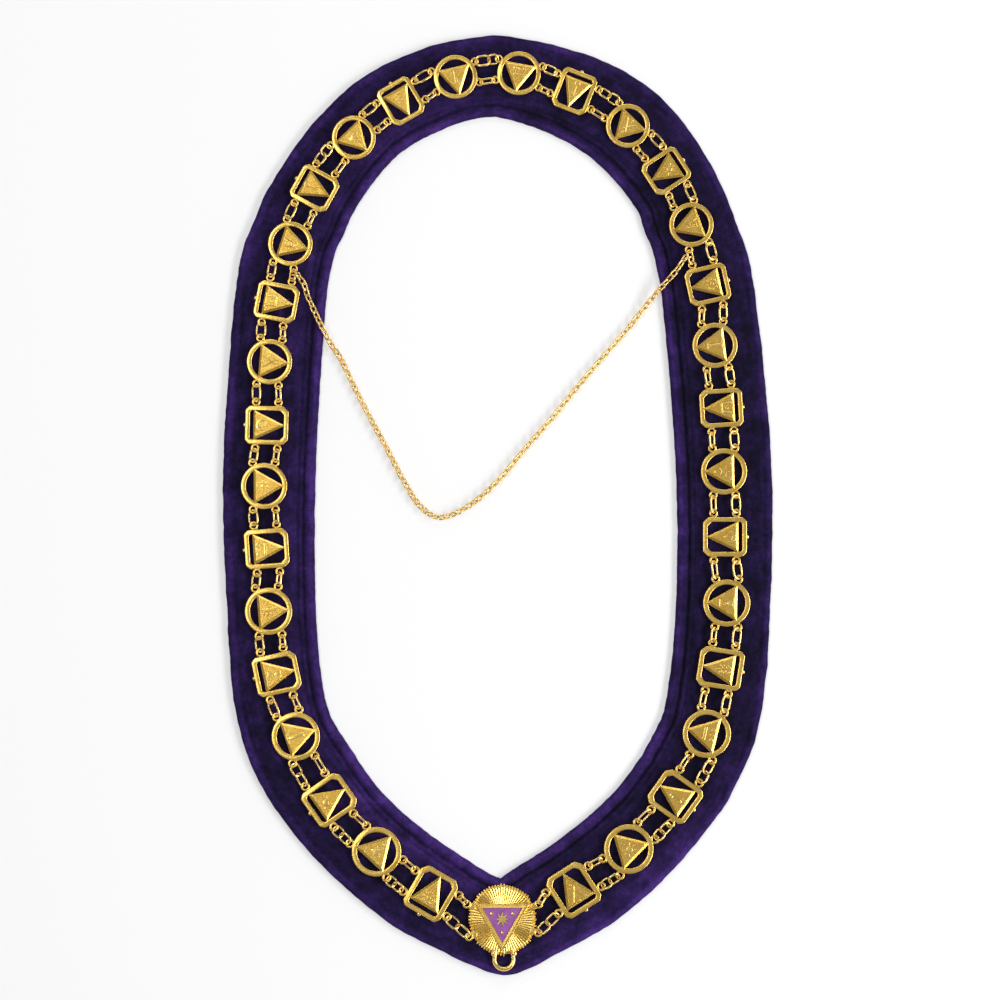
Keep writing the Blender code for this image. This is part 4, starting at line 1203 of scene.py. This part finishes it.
linkShape = {
    "wireRadius": 0.66 * mm,
    "holePlay": 0.35 * mm,          # how far a link slides in an eye towards its middle
    "longest": 11.6 * mm,           # past this distance between eyes there are two links
    "inner": {"halfWidth": 1.95 * mm, "tilt": 46.0},
    "outer": {"halfWidth": 2.8 * mm, "tilt": 36.0},
    "height": 5.15 * mm,
    "nominal": 8.0 * mm,            # distance between the middles of a link's two ends
    "seed": 5,
}


def eyePlace(seat, string, end):
    across = plateShape["lugAcross"] * (1 if string == "inner" else -1)
    along = plateShape["lugAlong"] * (1 if end == "next" else -1)
    return seatMatrix(seat) @ Vector((across, along, 0.0))


def jewelEye(side, string):
    lug = jewelLugs[side][string]
    return Vector((jewelCentre.x + lug[0] * mm, jewelCentre.y + lug[1] * mm, 0.0))


def eyePairs(string):
    pairs = [(jewelEye("left", string), eyePlace(seats[0], string, "last"))]
    for seat, following in zip(seats, seats[1:]):
        pairs.append((eyePlace(seat, string, "next"), eyePlace(following, string, "last")))
    pairs.append((eyePlace(seats[-1], string, "next"), jewelEye("right", string)))
    return pairs


def linkTurn(start, end, tilt):  # along the pair of eyes, with the side towards the neck raised
    along = (end - start).normalized()
    neckwards = Vector((along.y, -along.x, 0.0))
    across = neckwards * math.cos(tilt) + up * math.sin(tilt)
    return Matrix((along, across, along.cross(across))).transposed().to_euler()


def linkRows(string):
    shape = linkShape[string]
    stray = random.Random(linkShape["seed"] + len(string))
    rows = []
    wire = linkShape["wireRadius"]
    pairs = eyePairs(string)
    for start, end in pairs:
        along = (end - start).normalized()
        reach = (end - start).length - 2.0 * linkShape["holePlay"]
        atNape = string == "outer" and (start, end) == pairs[len(pairs) // 2]
        shares = (1.0,)
        if (end - start).length > linkShape["longest"]:
            shares = (0.58, 0.42) if atNape else (0.52, 0.48)
        reach += 2.0 * wire * (len(shares) - 1)
        travelled = linkShape["holePlay"]
        for step, share in enumerate(shares):
            length = reach * share
            place = start + along * (travelled + length / 2)
            travelled += length - 2.0 * wire
            lean = shape["tilt"] + stray.uniform(-7.0, 7.0)
            if step == 1:
                lean = -0.8 * lean
            widen = 1.2 if atNape and step == 0 else 1.0
            place.z = linkShape["height"] + stray.uniform(-0.1, 0.1) * mm
            rows.append((place, linkTurn(start, end, math.radians(lean)), length / linkShape["nominal"], widen))
    return rows


def linkString(string):
    rows = linkRows(string)
    holder = bpy.data.objects.new("linkPlaces", bpy.data.meshes.new("linkPlaces"))
    bpy.context.scene.collection.objects.link(holder)
    holder.data.vertices.add(len(rows))
    turns = holder.data.attributes.new("turn", "FLOAT_VECTOR", "POINT")
    stretches = holder.data.attributes.new("stretch", "FLOAT_VECTOR", "POINT")
    for index, (place, turn, stretch, widen) in enumerate(rows):
        holder.data.vertices[index].co = place
        turns.data[index].vector = tuple(turn)
        stretches.data[index].vector = (stretch, widen, 1.0)
    halfWidth = linkShape[string]["halfWidth"]
    mesh = runTree(holder, placedLinksTree(), {
        "Half Width": halfWidth,
        "Straight": linkShape["nominal"] - 2.0 * halfWidth,
        "Wire Radius": linkShape["wireRadius"],
        "Material": wireGilt,
    })
    piece = addPiece(string + "LinkString", mesh, wireGilt)
    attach(piece, "root")


linkString("inner")
linkString("outer")
print("links ready")


# Light chain across the neck

chainShape = {
    "pitch": 3.35 * mm,
    "halfWidth": 1.4 * mm,
    "straight": 1.6 * mm,
    "wireRadius": 0.5 * mm,
    "lean": 43.0,
    "looseness": 10.0,
    "endRingRadius": 2.1 * mm,
    "endRingWire": 0.52 * mm,
    "plateIndex": 10,
    "onVelvet": 5.15,
    "onTable": 1.87,
}
chainRoute = [  # x, y and height in millimetres, from the left plate to the right one
    (-107.2, 121.5, 5.75), (-105.6, 116.0, 5.15), (-102.3, 108.7, 5.15), (-97.5, 98.5, 5.15),
    (-92.5, 89.0, 3.2), (-87.0, 80.5, 1.87), (-79.0, 64.0, 1.87), (-70.5, 47.5, 1.87),
    (-61.5, 31.0, 1.87), (-53.0, 14.5, 1.87), (-43.5, 0.0, 1.87), (-32.0, -6.3, 1.87),
    (-16.0, 0.5, 1.87), (0.0, 14.5, 1.87), (14.0, 31.0, 1.87), (28.5, 47.5, 1.87),
    (42.0, 64.0, 1.87), (56.0, 80.5, 1.87), (70.5, 97.0, 1.87), (77.5, 106.0, 1.87),
    (83.5, 113.5, 3.2), (89.5, 120.5, 5.15), (94.5, 126.0, 5.15), (98.6, 131.0, 5.75),
]


def endRing(start, end):  # a ring round the raised side of an inner link
    along = (end - start).normalized()
    neckwards = Vector((along.y, -along.x, 0.0))
    tilt = math.radians(linkShape["inner"]["tilt"])
    side = neckwards * math.cos(tilt) + up * math.sin(tilt)
    held = (start + end) / 2 + side * linkShape["inner"]["halfWidth"]
    held.z += linkShape["height"]
    radius = chainShape["endRingRadius"]
    route = []
    for step in range(20):
        spot = polar(radius, 18 * step)
        route.append(held + neckwards * spot.x + up * spot.y)
    return wireShell(route, chainShape["endRingWire"], closed=True), held + neckwards * radius


def crossChain():
    pairs = eyePairs("inner")
    index = chainShape["plateIndex"] + 1
    leftRing, leftEnd = endRing(*pairs[index])
    rightRing, rightEnd = endRing(*pairs[len(pairs) - 1 - index])
    points = [leftEnd] + [Vector(row) * mm for row in chainRoute] + [rightEnd]
    curve = bpy.data.curves.new("chainRoute", "CURVE")
    curve.dimensions = "3D"
    spline = curve.splines.new("POLY")
    route = smoothRoute(points, 12)
    spline.points.add(len(route) - 1)
    for point, place in zip(spline.points, route):
        point.co = (*place, 1.0)
    holder = bpy.data.objects.new("chainRoute", curve)
    bpy.context.scene.collection.objects.link(holder)
    links = runTree(holder, curbChainTree(), {
        "Pitch": chainShape["pitch"],
        "Lean": math.radians(chainShape["lean"]),
        "Looseness": math.radians(chainShape["looseness"]),
        "Seed": 8,
        "Half Width": chainShape["halfWidth"],
        "Straight": chainShape["straight"],
        "Wire Radius": chainShape["wireRadius"],
        "Material": wireGilt,
    })
    still = Matrix.Identity(4)
    mesh = joinShells([(links, still, 0.9), (leftRing, still, 0.9), (rightRing, still, 0.9)])
    piece = addPiece("crossChain", mesh, wireGilt)
    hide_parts("cross_chain")
    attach(piece, "root")


crossChain()
print("cross chain ready")


# Floor, light and camera

stageLook = {
    "floor": (0.60, 0.60, 0.60),
    "floorGlow": 0.38,
    "zenith": (0.50, 0.50, 0.51),
    "shoulder": (0.20, 0.20, 0.21),
    "horizon": (1.05, 1.05, 1.06),
    "strength": 1.0,
    "frameWidth": 552.0 * mm,       # what the photograph's frame takes in at the table
    "cameraHeight": 3.0,
    "sensor": 36.0,
}
softBoxes = [  # name, place, size and power
    ("keyRight", (1.45, -0.35, 1.0), (1.9, 0.5), 28.0),
    ("fillLeft", (-0.85, 0.15, 1.9), (1.2, 0.7), 10.0),
    ("backTop", (0.2, 1.6, 1.1), (1.4, 0.35), 6.0),
]


def stageFloor():
    mesh = bpy.data.meshes.new("floor")
    flat = bmesh.new()
    bmesh.ops.create_grid(flat, x_segments=1, y_segments=1, size=6.0)
    flat.to_mesh(mesh)
    flat.free()
    material, tree, shader = newMaterial("paleFloor", 0.9)
    shader.inputs["Base Color"].default_value = (*stageLook["floor"], 1.0)
    shader.inputs["Specular IOR Level"].default_value = 0.1
    shader.inputs["Emission Color"].default_value = (1.0, 1.0, 1.0, 1.0)
    shader.inputs["Emission Strength"].default_value = stageLook["floorGlow"]
    floor = addPiece("floor", mesh, material)


def studioLight():
    world = bpy.data.worlds.new("studio")
    bpy.context.scene.world = world
    world.use_nodes = True
    tree = world.node_tree
    background = tree.nodes["Background"]
    place = addNode(tree, "ShaderNodeTexCoord").outputs["Generated"]
    split = addNode(tree, "ShaderNodeSeparateXYZ")
    tree.links.new(place, split.inputs[0])
    colour = addRamp(tree, split.outputs["Z"], [
        (0.0, stageLook["horizon"]), (0.18, stageLook["horizon"]), (0.45, stageLook["shoulder"]),
        (0.80, stageLook["shoulder"]), (0.97, stageLook["zenith"])])
    tree.links.new(colour, background.inputs["Color"])
    background.inputs["Strength"].default_value = stageLook["strength"]
    for name, place, size, power in softBoxes:
        light = bpy.data.lights.new(name, "AREA")
        light.shape = "RECTANGLE"
        light.size, light.size_y = size
        light.energy = power
        lamp = bpy.data.objects.new(name, light)
        lamp.location = place
        lamp.rotation_euler = (Vector((0.0, 0.0, 0.0)) - Vector(place)).to_track_quat("-Z", "Y").to_euler()
        bpy.context.scene.collection.objects.link(lamp)


def photoCamera():
    camera = bpy.data.cameras.new("photoCamera")
    camera.sensor_width = stageLook["sensor"]
    camera.lens = stageLook["sensor"] * stageLook["cameraHeight"] / stageLook["frameWidth"]
    camera.clip_start = 0.01
    camera.clip_end = 50.0
    holder = bpy.data.objects.new("photoCamera", camera)
    holder.location = (0.55 * mm, 3.3 * mm, stageLook["cameraHeight"])
    bpy.context.scene.collection.objects.link(holder)
    bpy.context.scene.camera = holder


stageFloor()
studioLight()
photoCamera()
bpy.context.scene.view_settings.view_transform = "Standard"
print("stage ready")
